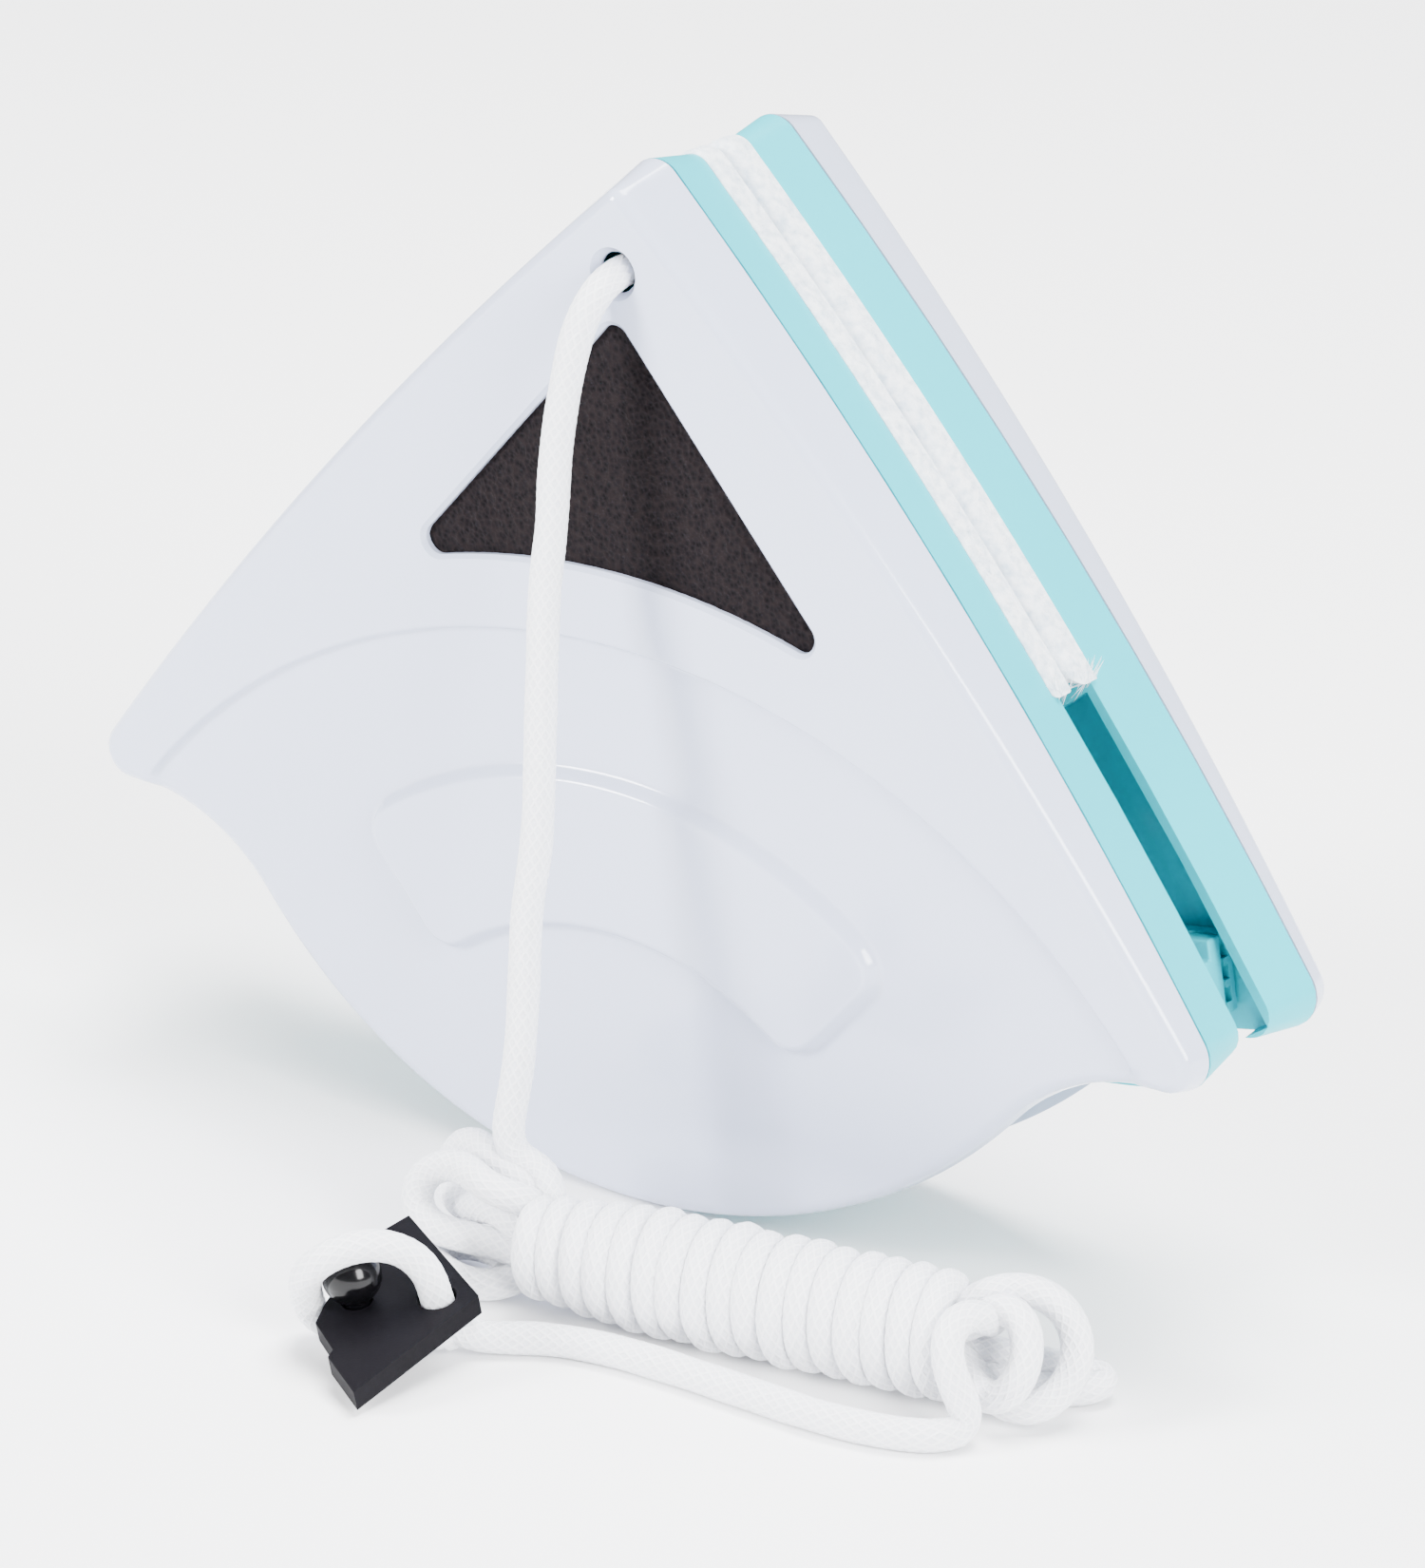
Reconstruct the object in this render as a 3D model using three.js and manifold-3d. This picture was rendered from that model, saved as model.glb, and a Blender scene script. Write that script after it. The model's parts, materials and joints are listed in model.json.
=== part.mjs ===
// Two-sided magnetic glass cleaner with a safety cord, standing on its lower edge.
// Millimetres, +Z up. X runs along the glass, Y through it, and the glass lies in Y = 0.
// The front half is at -Y and the rear half at +Y. Z = 0 is the surface it stands on.
// Each half is built once, facing +Y, and turned or left as it is by its own group.
import * as THREE from 'three';
import { mergeVertices } from 'three/addons/utils/BufferGeometryUtils.js';
import Module from 'manifold-3d';

const wasm = await Module();
wasm.setup();

// ---------- driving dimensions ----------

const clearance = 0.3; // between any two neighbouring pieces

// outline of a half, seen along Y
const halfWidth = 75; // centre line to the outside of a lower corner
const apexTop = 122; // highest point
const apexRadius = 3.5;
const cornerHeight = 36.8; // centre of the rounded lower corners
const cornerRadius = 4;
const sideRadius = 560; // long convex sides
const bulgeRadius = 67.4; // lower edge of the fan, touches Z = 0
const neckRadius = 25; // hollow curve between fan and corner
const frameSag = 7; // how far the frame's lower edge drops below its corners

// layers, measured outwards from the glass
const glassGap = 3.15; // glass plane to the frame
const frameDepth = 7.75;
const frameDraft = 1.25; // how far the frame narrows towards the glass
const coverDepth = 6.35; // frame to the smooth face, at faceHeight
const faceHeight = 78;
const faceTilt = 0.05; // the face leans: deeper towards the apex
const coverDraft = 0.24; // how far the cover narrows for each millimetre of its depth
const blankDepth = 14; // depth of the blanks that the face then trims
const coverWall = 1.5;
const fanStep = 1.1; // fan below the smooth face
const fanLevelHeight = 30; // the fan stops leaning below here
const lidDepth = 1.2; // plate of the frame that closes the fan
const lidMargin = 1.1; // between that plate and the cover's wall
const lidRoot = 0.8; // how far that plate runs into the frame
const rimWidth = 4.5; // edge of the frame round the room for the yoke plate

// features of the face
const holeDrop = 11.1; // cord hole below the apex
const holeRoom = 0.9; // round the cord in its hole
const windowDrop = 16; // point of the window below the apex
const windowBorder = 19.81; // window's lower corners to the cover's side
const windowCornerHeight = 73.6;
const windowRadius = 1.8;
const windowArcCentre = -13.2;
const windowArcRadius = 89.3;
const stepArcCentre = -18.7;
const stepArcRadius = 86.1;
const stepArcEnd = 0.35; // bearing at which the arc stops, outside the cover
const padCentre = -4;
const padOuterRadius = 55.1;
const padInnerRadius = 36.8;
const padHalfAngle = 0.716;
const padTop = 0.15; // pad below the smooth face
const padRoot = 1; // from the cover's back to the foot of the pad's own solid
const foamSetBack = 0.9; // foam below the smooth face
const foamLip = 1.2; // foam plate beyond the window
const foamRoot = 0.5; // how far the block runs into that plate

// glass side of the frame
const fleeceCornerHeight = 69; // where the fleece ends on the flank
const fleeceCornerBorder = 3.75; // and how far in from the frame's side
const fleeceMargin = 0.9; // frame edge showing round the fleece
const fleeceSeat = 1; // depth of the fleece's seat
const fleeceTip = 0.35; // fleece to the glass plane
const fleeceRound = 0.9; // width of the fleece's slanted edge
const coveInset = 6.2; // middle of the flank groove, from the frame's edge
const coveRadius = 5.2;
const coveRise = 0.6; // middle of the groove, nearer the glass than the frame
const coveGap = 1.4; // from the fleece's end down to the groove
const coveStop = 0.004; // angle by which the groove stops short of the corner
const channelMargin = 1.6; // lower rim of the frame outside the blades
const channelDepth = 4.2;
const channelBorder = 2.664; // from the centre of the rounded corner to the channel's end
const bladeCount = 3;
const bladeThickness = 1.1;
const bladePitch = 2.5;
const bladeTip = 0.5; // blade to the glass plane
const bladeTaper = 0.7; // thickness of the tip against the root
const firstBlade = 2.3; // channel's outer wall to the first blade's middle
const barDepth = 2;
const grooveDepth = 1.2;
const grooveEnd = 0.05; // angle by which a groove runs past its blade
const clipLength = 4.4;
const clipProud = 0.4; // corner clip above the frame
const noseProud = 1.6; // its nose above the frame
const noseShare = 0.6; // length of the nose against the clip
const noseInner = 2.6; // channel's walls to the nose
const noseOuter = 2.2;

// inside
const magnetLength = 22;
const magnetWidth = 12;
const magnetDepth = 4.6;
const topMagnetDrop = 32; // top magnet's middle below the apex
const lowMagnetPlace = [26, 58];
const yokeDepth = 1.2;
const yokeMargin = 3;
const yokeLow = 48; // straight lower and upper edges of the yoke plate
const yokeDrop = 20; // the upper one is this far below the apex
const middleScrewHeight = 62;
const flankScrewHeight = 50;
const flankScrewBorder = 16.25; // flank screws to the cover's side
const screwRadius = 1.3;
const screwHeadRadius = 2.6;
const screwHeadDepth = 1.4;
const bossRadius = 3.2;
const bossRoot = 0.6; // how far a boss runs into the cover's wall
const screwBite = 2.2; // how far a screw reaches into its boss

// cord and what is on it
const cordDiameter = 3.6;
const stopperRadius = 3;
const stopperRoom = 1; // between the stopper knot and its pocket
const hankStart = [-1.5, -38.5]; // ends of the hank's middle line, seen from above
const hankEnd = [64, -30];
const hankRadius = 7.3;
const hankHeight = 14.6;
const hankBevel = 3;
const clipPlace = [10.6, -75.4, 3.1]; // the plate's lowest top corner
const clipHeading = 1.449; // its long edge, seen from above
const clipLean = 0.26; // the long edge rises from that corner
const clipThickness = 2.4;
const clipCorners = [
  [0, 0], [19.5, 0], [26.1, 16.8], [21.3, 17.6], [9.6, 13.7], [6.6, 12.2], [4.2, 7.2], [3, 6.8],
];
const clipHole = [16.9, 3.8];
const clipHoleRoom = 0.4; // round the cord in the clip's hole
const knobPlace = [11.9, 11];
const knobRadius = 3.3;
const knobRise = 3.4; // ball's centre above the plate
const knobShank = 1.5;
const clipKnotRadius = 2.3;
const clipKnotDrop = 5; // knot's centre below the plate's top

// the cord from its stopper, out of the hole and down to the hank
const runRoute = [
  [0, -14.3, 110.9], [0, -17.5, 110.9], [-0.3, -20.3, 110], [-1, -22.3, 107.3], [-1.6, -23.4, 103.6],
  [-2, -24, 99.8], [-2.4, -24.6, 95], [-2.6, -25, 90], [-2.4, -25.6, 83], [-2.6, -26.2, 77.7],
  [-1.3, -28.3, 62.5], [-0.1, -30.2, 48.5], [-0.3, -31.4, 41.2], [0.5, -32.8, 31.9], [1.2, -34.4, 24],
  [1.3, -36.2, 15.1],
];
// its tail along the surface, from the hank to the knot under the clip
const tailRoute = [
  [64.8, -39.6, 1.85], [63.6, -42.8, 1.85], [60.4, -44.9, 1.85], [55, -46.5, 1.85], [49.5, -47.2, 1.85],
  [42, -47.3, 1.85], [36, -47.4, 1.85], [30, -47.6, 1.85], [24, -48.2, 1.85], [19.5, -49.4, 1.85],
  [15.5, -51.5, 1.85], [12.9, -53.8, 2], [11.2, -55.3, 2.2],
];
// its last stretch, in the clip's own frame: up the hole, over the knob, down behind the plate
const loopRoute = [
  [16.9, 3.8, -2.3], [16.9, 3.8, 0.5], [16.7, 4.2, 3.6], [15.3, 5.4, 6.6], [13.3, 7.1, 8.2], [11.1, 9.3, 8.4],
  [9.1, 10.9, 7.8], [7.8, 13.4, 5.5], [8.5, 15.1, 2], [9.4, 16.1, -1], [10.1, 16.2, -3.5], [11.5, 14, -4.35],
  [11.4, 11.6, -4.35],
];

// ---------- worked out from them ----------

const frameBack = glassGap + frameDepth;
const coverBack = frameBack + clearance;
const deg90 = Math.PI / 2;
const facets = 20; // round a small hole or pin
const coveFacets = 16;
const through = 1; // how far a cutting solid runs past what it cuts
const far = 200; // beyond any part of the cleaner

/** Height of the smooth face above the glass plane at height z. */
function faceAt(z) {
  return frameBack + coverDepth + faceTilt * (z - faceHeight);
}

/** Height above which the cover leaves this much room between its own back and its ceiling. */
function roomyAbove(room) {
  return faceHeight + (coverBack + room + coverWall + fanStep - faceAt(faceHeight)) / faceTilt;
}

// ---------- plane geometry ----------

const point = (x, z) => new THREE.Vector2(x, z);

/** Where two circles meet: the meeting point on the left of the way from a to b, or the right. */
function circlesMeet(a, ra, b, rb, left) {
  const way = b.clone().sub(a);
  const distance = way.length();
  const along = (ra * ra - rb * rb + distance * distance) / (2 * distance);
  const across = Math.sqrt(Math.max(ra * ra - along * along, 0)) * (left ? 1 : -1);
  way.divideScalar(distance);
  return point(a.x + way.x * along - way.y * across, a.y + way.y * along + way.x * across);
}

const bearing = (from, to) => Math.atan2(to.y - from.y, to.x - from.x);

/** Points of an arc from one bearing to another, without its last point. */
function arc(centre, radius, start, end, steps, clockwise = true) {
  let last = end;
  while (clockwise && last > start) last -= 2 * Math.PI;
  while (!clockwise && last < start) last += 2 * Math.PI;
  return Array.from({ length: steps }, (_, i) => {
    const angle = start + ((last - start) * i) / steps;
    return point(centre.x + radius * Math.cos(angle), centre.y + radius * Math.sin(angle));
  });
}

// centres that both outlines share
const apexCentre = point(0, apexTop - apexRadius);
const cornerCentre = point(halfWidth - cornerRadius, cornerHeight);
const sideCentre = circlesMeet(
  apexCentre, sideRadius - apexRadius, cornerCentre, sideRadius - cornerRadius, false,
);
const bulgeCentre = point(0, bulgeRadius);
const cornerDrop = cornerRadius + frameSag;
const lowerRadius = (cornerCentre.x ** 2 + cornerDrop ** 2 - cornerRadius ** 2) / (2 * frameSag);
const lowerCentre = point(0, cornerHeight - cornerDrop + lowerRadius);

/** Half the width of the cleaner at height z, on its convex side. */
const sideAt = (z) => sideCentre.x + Math.sqrt(sideRadius ** 2 - (z - sideCentre.y) ** 2);

// places that follow the outline
const holeHeight = apexTop - holeDrop;
const [lowMagnetX, lowMagnetHeight] = lowMagnetPlace;
const magnetPlaces = [
  [0, apexTop - topMagnetDrop], [-lowMagnetX, lowMagnetHeight], [lowMagnetX, lowMagnetHeight],
];
const flankScrewX = sideAt(flankScrewHeight) - flankScrewBorder;
const screwPlaces = [
  [0, middleScrewHeight], [-flankScrewX, flankScrewHeight], [flankScrewX, flankScrewHeight],
];
const fleeceCorner = point(sideAt(fleeceCornerHeight) - fleeceCornerBorder, fleeceCornerHeight);

/** Both halves of an outline from its right half, which runs from the top to the bottom. */
function mirrored(right) {
  const left = right.slice(1, -1).reverse().map((p) => point(-p.x, p.y));
  return [...right, ...left];
}

/** Apex and side of an outline drawn in by inset, down to a corner centre. */
function apexAndSide(inset, corner) {
  const radius = Math.max(apexRadius - inset, 0.6);
  const reach = sideRadius - inset - radius;
  const top = point(0, sideCentre.y + Math.sqrt(reach ** 2 - sideCentre.x ** 2));
  const turn = bearing(sideCentre, top);
  return [
    ...arc(top, radius, deg90, turn, 4),
    ...arc(sideCentre, sideRadius - inset, turn, bearing(sideCentre, corner), 8),
  ];
}

/** Outline of the cover, with its fan, drawn in by inset. */
function coverOutline(inset) {
  const radius = Math.max(cornerRadius - inset, 0.8);
  const slide = 1.9 * (inset - cornerRadius + radius);
  const x = cornerCentre.x - slide;
  const reach = sideRadius - inset - radius;
  const corner = point(x, sideCentre.y + Math.sqrt(reach ** 2 - (x - sideCentre.x) ** 2));
  const neck = neckRadius + inset;
  const neckCentre = circlesMeet(bulgeCentre, bulgeRadius + neckRadius, corner, radius + neck, false);
  const bulge = bulgeRadius - inset;
  return mirrored([
    ...apexAndSide(inset, corner),
    ...arc(corner, radius, bearing(sideCentre, corner), bearing(corner, neckCentre), 6),
    ...arc(neckCentre, neck, bearing(neckCentre, corner), bearing(neckCentre, bulgeCentre), 6, false),
    ...arc(bulgeCentre, bulge, bearing(bulgeCentre, neckCentre), -deg90, 14),
    point(0, bulgeCentre.y - bulge),
  ]);
}

/** Outline of the glass-side frame drawn in by inset. */
function frameOutline(inset) {
  const radius = Math.max(cornerRadius - inset, 0.8);
  const sideReach = sideRadius - inset - radius;
  const lowerReach = lowerRadius - inset - radius;
  const corner = circlesMeet(sideCentre, sideReach, lowerCentre, lowerReach, false);
  return mirrored([
    ...apexAndSide(inset, corner),
    ...arc(corner, radius, bearing(sideCentre, corner), bearing(lowerCentre, corner), 6),
    ...arc(lowerCentre, lowerRadius - inset, bearing(lowerCentre, corner), -deg90, 10),
    point(0, lowerCentre.y - lowerRadius + inset),
  ]);
}

/** Outline of the fleece: the upper part of the frame, down to an arc like its lower edge. */
function fleeceOutline(inset) {
  const foot = point(fleeceCorner.x - inset, fleeceCorner.y + inset);
  const radius = foot.distanceTo(lowerCentre);
  const heel = circlesMeet(sideCentre, sideRadius - inset, lowerCentre, radius, false);
  return mirrored([
    ...apexAndSide(inset, heel),
    ...arc(lowerCentre, radius, bearing(lowerCentre, heel), -deg90, 8),
    point(0, lowerCentre.y - radius),
  ]);
}

// the window's sides are straight, its lower edge is an arc, and its three corners are round
const windowTop = apexTop - windowDrop;
const windowFoot = point(sideAt(windowCornerHeight) - windowBorder, windowCornerHeight);
const windowSide = windowFoot.clone().sub(point(0, windowTop)).normalize();
const windowInward = point(windowSide.y, -windowSide.x);
const windowArc = point(0, windowArcCentre);
const windowTip = point(0, windowTop - windowRadius / windowSide.x);
const windowHeel = (() => {
  const start = point(0, windowTop).addScaledVector(windowInward, windowRadius).sub(windowArc);
  const along = start.dot(windowSide);
  const reach = windowArcRadius + windowRadius;
  const way = -along - Math.sqrt(along ** 2 - start.lengthSq() + reach ** 2);
  return start.addScaledVector(windowSide, way).add(windowArc);
})();

/** Triangular window with a hollow lower edge, drawn in by inset. */
function windowOutline(inset) {
  const radius = windowRadius - inset;
  const side = bearing(windowInward, point(0, 0));
  return mirrored([
    ...arc(windowTip, radius, deg90, side, 3),
    ...arc(windowHeel, radius, side, bearing(windowHeel, windowArc), 5),
    ...arc(windowArc, windowArcRadius + inset, bearing(windowArc, windowHeel), deg90, 7, false),
    point(0, windowArcCentre + windowArcRadius + inset),
  ]);
}

/** Strip between two arcs about a centre, from one bearing to another. */
function strip(centre, inner, outer, start, end, steps) {
  const far = arc(centre, outer, start, end, steps);
  const near = arc(centre, inner, start, end, steps).reverse();
  const at = (radius) => point(centre.x + radius * Math.cos(end), centre.y + radius * Math.sin(end));
  return [...far, at(outer), at(inner), ...near];
}

/** Circle as an outline. */
const circle = (x, z, radius, steps = facets) => arc(point(x, z), radius, 2 * Math.PI, 0, steps);

/** Rectangle as an outline. */
function rectangle(x, z, width, height) {
  const [w, h] = [width / 2, height / 2];
  return [point(x - w, z + h), point(x + w, z + h), point(x + w, z - h), point(x - w, z - h)];
}

// ---------- solids ----------

/** Closed geometry through rings that all have the same number of points. */
function loft(rings) {
  const count = rings[0].length;
  const positions = rings.flat().flatMap((p) => [p.x, p.y, p.z]);
  const flat = rings[0].map((p) => point(p.x, p.z));
  const cap = THREE.ShapeUtils.triangulateShape(flat, []);
  const last = (rings.length - 1) * count;
  const index = [];
  const area = THREE.ShapeUtils.area(flat);
  const grows = rings.at(-1)[0].y > rings[0][0].y;
  const flip = (area > 0) === grows;
  const add = (a, b, c) => index.push(...(flip ? [a, b, c] : [a, c, b]));
  for (let ring = 0; ring < rings.length - 1; ring += 1) {
    for (let i = 0; i < count; i += 1) {
      const a = ring * count + i;
      const b = ring * count + ((i + 1) % count);
      add(a, a + count, b);
      add(b, a + count, b + count);
    }
  }
  const [a0, b0, c0] = cap[0].map((i) => flat[i]);
  const capTurns = THREE.ShapeUtils.area([a0, b0, c0]) > 0 === area > 0;
  for (const [a, b, c] of cap) {
    if (capTurns) {
      add(a, b, c);
      add(last + a, last + c, last + b);
    } else {
      add(a, c, b);
      add(last + a, last + b, last + c);
    }
  }
  const geometry = new THREE.BufferGeometry();
  geometry.setAttribute('position', new THREE.Float32BufferAttribute(positions, 3));
  geometry.setIndex(index);
  return geometry;
}

const ring = (outline, y) => outline.map((p) => new THREE.Vector3(p.x, y, p.y));

/** Solid manifold of any closed geometry. */
function solid(geometry) {
  const bare = geometry.clone();
  bare.deleteAttribute('normal');
  bare.deleteAttribute('uv');
  const merged = mergeVertices(bare, 1e-4);
  return new wasm.Manifold(
    new wasm.Mesh({
      numProp: 3,
      vertProperties: Float32Array.from(merged.attributes.position.array),
      triVerts: Uint32Array.from(merged.index.array),
    }),
  );
}

/** Outline extruded along Y. */
const slab = (outline, low, high) => solid(loft([ring(outline, low), ring(outline, high)]));

/** Outline that is drawn in as it goes along Y. */
const tapered = (outlineAt, levels) => solid(loft(levels.map(([inset, y]) => ring(outlineAt(inset), y))));

/** Everything nearer the glass than the smooth face lowered by drop, level below a height if one is given. */
function belowFace(drop, levelBelow = null) {
  const low = levelBelow ?? 0;
  const foot = levelBelow === null ? faceAt(-far) : faceAt(low);
  const profile = [
    point(-far, -far),
    point(foot - drop, -far),
    point(faceAt(low) - drop, low),
    point(faceAt(far) - drop, far),
    point(-far, far),
  ];
  const block = new THREE.ExtrudeGeometry(new THREE.Shape(profile), { depth: 2 * far, bevelEnabled: false });
  // the shape's X is Y here and its Y is Z, so its own Z runs along X
  block.applyMatrix4(new THREE.Matrix4().set(0, 0, 1, -far, 1, 0, 0, 0, 0, 1, 0, 0, 0, 0, 0, 1));
  return solid(block);
}

/** Geometry of a manifold. */
function geometryOf(manifold) {
  const mesh = manifold.getMesh();
  const geometry = new THREE.BufferGeometry();
  geometry.setAttribute('position', new THREE.Float32BufferAttribute(mesh.vertProperties, 3));
  geometry.setIndex(Array.from(mesh.triVerts));
  return geometry;
}

const together = (solids) => solids.reduce((sum, one) => sum.add(one));

// ---------- materials ----------

function material(name, color, roughness, metalness = 0) {
  return new THREE.MeshStandardMaterial({ name, color, roughness, metalness });
}

const whiteShell = material('white_shell', 0xdfe3ec, 0.25);
const cyanFrame = material('cyan_frame', 0x88eaef, 0.35);
const fleece = material('fleece', 0xe6eef6, 0.95);
const charcoalFoam = material('charcoal_foam', 0x2f2a2f, 0.95);
const clearRubber = material('clear_rubber', 0xc4e0f0, 0.4);
const magnetMetal = material('magnet', 0x9a9ca0, 0.3, 0.9);
const yokeSteel = material('yoke_steel', 0xb5b7ba, 0.45, 0.9);
const screwSteel = material('screw_steel', 0xc0c2c6, 0.35, 0.9);
const whiteCord = material('white_cord', 0xeff0f4, 0.9);
const blackPlastic = material('black_plastic', 0x26252a, 0.4);

function mesh(name, geometry, look) {
  const piece = new THREE.Mesh(geometry, look);
  piece.name = name;
  return piece;
}

// ---------- one half ----------

// region of the fan: everything below the step's arc
const stepRegion = (() => {
  const edge = arc(point(0, stepArcCentre), stepArcRadius, Math.PI - stepArcEnd, stepArcEnd, 36);
  const end = point(-edge[0].x, edge[0].y);
  return [...edge, end, point(far, end.y), point(far, -far), point(-far, -far), point(-far, end.y)];
})();

/** White cover: drafted shell with the smooth face, the recessed fan and the grip pad. */
function buildCover(withHole) {
  const top = coverBack + blankDepth;
  const drawnIn = coverDraft * blankDepth;
  const body = tapered(coverOutline, [[0, coverBack], [drawnIn, top]]);
  const region = slab(stepRegion, coverBack - through, top + through);
  const fan = body.intersect(region).intersect(belowFace(fanStep, fanLevelHeight));
  const upper = body.subtract(region).intersect(belowFace(0));
  const padOutline = strip(point(0, padCentre), padInnerRadius, padOuterRadius,
    deg90 + padHalfAngle, deg90 - padHalfAngle, 14);
  const pad = slab(padOutline, coverBack + padRoot, top).intersect(belowFace(padTop));
  const innerOutline = (inset) => coverOutline(coverWall + inset);
  const inner = tapered(innerOutline, [[0, coverBack - through], [drawnIn, top]]);
  const hollow = inner.intersect(belowFace(fanStep + coverWall, fanLevelHeight));
  let shell = together([fan, upper, pad]).subtract(hollow);
  const bosses = screwPlaces.map(([x, z]) => (
    slab(circle(x, z, bossRadius, 12), coverBack, faceAt(z) - fanStep - bossRoot)
  ));
  shell = shell.add(together(bosses));
  const holes = screwPlaces.map(([x, z]) => (
    slab(circle(x, z, screwRadius + clearance, 10), coverBack - through, coverBack + screwBite + clearance)
  ));
  shell = shell.subtract(together(holes));
  shell = shell.subtract(slab(windowOutline(0), coverBack - through, top + through));
  if (withHole) {
    const hole = circle(0, holeHeight, cordDiameter / 2 + holeRoom);
    shell = shell.subtract(slab(hole, coverBack - through, top + through));
  }
  return geometryOf(shell);
}

/** Foam insert: a plate behind the window, and the block that fills the window. */
function buildFoam() {
  const plateLow = windowHeel.y - windowRadius - foamLip;
  const plateTop = faceAt(plateLow) - fanStep - coverWall - clearance;
  const plateBase = coverBack + yokeDepth + clearance;
  const plate = slab(windowOutline(-foamLip), plateBase, plateTop);
  const blank = slab(windowOutline(clearance), plateTop - foamRoot, coverBack + blankDepth);
  const block = blank.intersect(belowFace(foamSetBack));
  return geometryOf(plate.add(block));
}

/** Rings of the flank groove on the right, along an arc that follows the frame's side. */
function coveRings(radius) {
  const reach = sideRadius - frameDraft - coveInset;
  const start = bearing(sideCentre, point(fleeceCorner.x, fleeceCorner.y - coveGap));
  const end = bearing(sideCentre, cornerCentre) - coveStop;
  const steps = 8;
  return Array.from({ length: steps + 1 }, (_, i) => {
    const along = start + ((end - start) * i) / steps;
    const out = new THREE.Vector3(Math.cos(along), 0, Math.sin(along));
    return Array.from({ length: coveFacets }, (_, k) => {
      const turn = (2 * Math.PI * k) / coveFacets;
      const reached = reach + radius * Math.cos(turn);
      const p = out.clone().multiplyScalar(reached).add(new THREE.Vector3(sideCentre.x, 0, sideCentre.y));
      p.y = glassGap - coveRise + radius * Math.sin(turn);
      return p;
    });
  });
}

/** Closed geometry through rings in space, fanned at both ends. */
function swept(rings) {
  const count = rings[0].length;
  const middle = (around) => {
    const sum = around.reduce((total, p) => total.add(p), new THREE.Vector3());
    return sum.divideScalar(around.length);
  };
  const points = [...rings.flat(), middle(rings[0]), middle(rings.at(-1))];
  const first = points.length - 2;
  const last = points.length - 1;
  const index = [];
  for (let r = 0; r < rings.length - 1; r += 1) {
    for (let i = 0; i < count; i += 1) {
      const a = r * count + i;
      const b = r * count + ((i + 1) % count);
      index.push(a, a + count, b, b, a + count, b + count);
    }
  }
  for (let i = 0; i < count; i += 1) {
    const j = (i + 1) % count;
    index.push(first, i, j, last, last - 1 - count + j, last - 1 - count + i);
  }
  const geometry = new THREE.BufferGeometry();
  geometry.setAttribute('position', new THREE.Float32BufferAttribute(points.flatMap((p) => p.toArray()), 3));
  geometry.setIndex(index);
  return geometry;
}

/** The solid and its mirror image across X = 0. */
const bothSides = (one) => one.add(one.mirror([1, 0, 0]));

const channelOuter = lowerRadius - frameDraft - channelMargin;
const channelWidth = 2 * firstBlade + (bladeCount - 1) * bladePitch;
const channelInner = channelOuter - channelWidth;
const channelHalfAngle = Math.asin((cornerCentre.x - channelBorder) / lowerRadius);
const channelSpan = [-deg90 + channelHalfAngle, -deg90 - channelHalfAngle];
const channelOutline = (inset) => strip(lowerCentre, channelInner + inset, channelOuter - inset,
  channelSpan[0] - inset / lowerRadius, channelSpan[1] + inset / lowerRadius, 20);

/** Radius of a blade's middle about the frame's lower arc, outermost blade first. */
const bladeRadius = (number) => channelOuter - firstBlade - number * bladePitch;

/** Cyan frame: drafted block, seat for the fleece, flank grooves, blade channel, pockets and lid. */
function buildFrame(withPocket) {
  let block = tapered(frameOutline, [[frameDraft, glassGap], [0, frameBack]]);
  const lidOutline = coverOutline(coverWall + lidMargin);
  const lid = slab(lidOutline, frameBack - lidRoot, coverBack + lidDepth - clearance);
  block = block.add(lid.intersect(belowFace(fanStep + coverWall + clearance, fanLevelHeight)));
  block = block.subtract(slab(frameOutline(rimWidth), frameBack, coverBack + blankDepth));
  const seat = slab(fleeceOutline(frameDraft + fleeceMargin), glassGap - through, glassGap + fleeceSeat);
  const channel = slab(channelOutline(0), glassGap - through, glassGap + channelDepth);
  const pockets = magnetPlaces.map(([x, z]) => slab(
    rectangle(x, z, magnetLength + 2 * clearance, magnetWidth + 2 * clearance),
    frameBack - magnetDepth - clearance,
    frameBack + through,
  ));
  const holes = screwPlaces.flatMap(([x, z]) => [
    slab(circle(x, z, screwRadius + clearance, 10), glassGap - through, coverBack + lidDepth + through),
    slab(circle(x, z, screwHeadRadius + clearance, 12), glassGap - through,
      glassGap + fleeceSeat + screwHeadDepth + clearance),
  ]);
  block = block.subtract(together([seat, channel, ...pockets, ...holes]));
  block = block.subtract(bothSides(solid(swept(coveRings(coveRadius)))));
  if (withPocket) {
    const room = stopperRadius + stopperRoom;
    block = block.subtract(slab(circle(0, holeHeight, room), frameBack - room, frameBack + through));
  }
  return geometryOf(block);
}

/** White fleece pad, filling its seat and the gap up to the glass. */
function buildFleece() {
  const outline = (inset) => fleeceOutline(frameDraft + fleeceMargin + clearance + inset);
  return loft([
    ring(outline(fleeceRound), fleeceTip),
    ring(outline(0), fleeceTip + fleeceRound),
    ring(outline(0), glassGap + fleeceSeat - clearance),
  ]);
}

/** One rubber blade along the lower arc. */
function buildBlade(number) {
  const middle = bladeRadius(number);
  const span = channelSpan.map((a, i) => a + (i ? 1 : -1) * (clipLength / lowerRadius));
  const outline = (thick) => strip(lowerCentre, middle - thick / 2, middle + thick / 2, span[0], span[1], 20);
  const root = glassGap + channelDepth - barDepth + grooveDepth - 2 * clearance;
  return loft([
    ring(outline(bladeThickness * bladeTaper), bladeTip),
    ring(outline(bladeThickness), root),
  ]);
}

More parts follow.
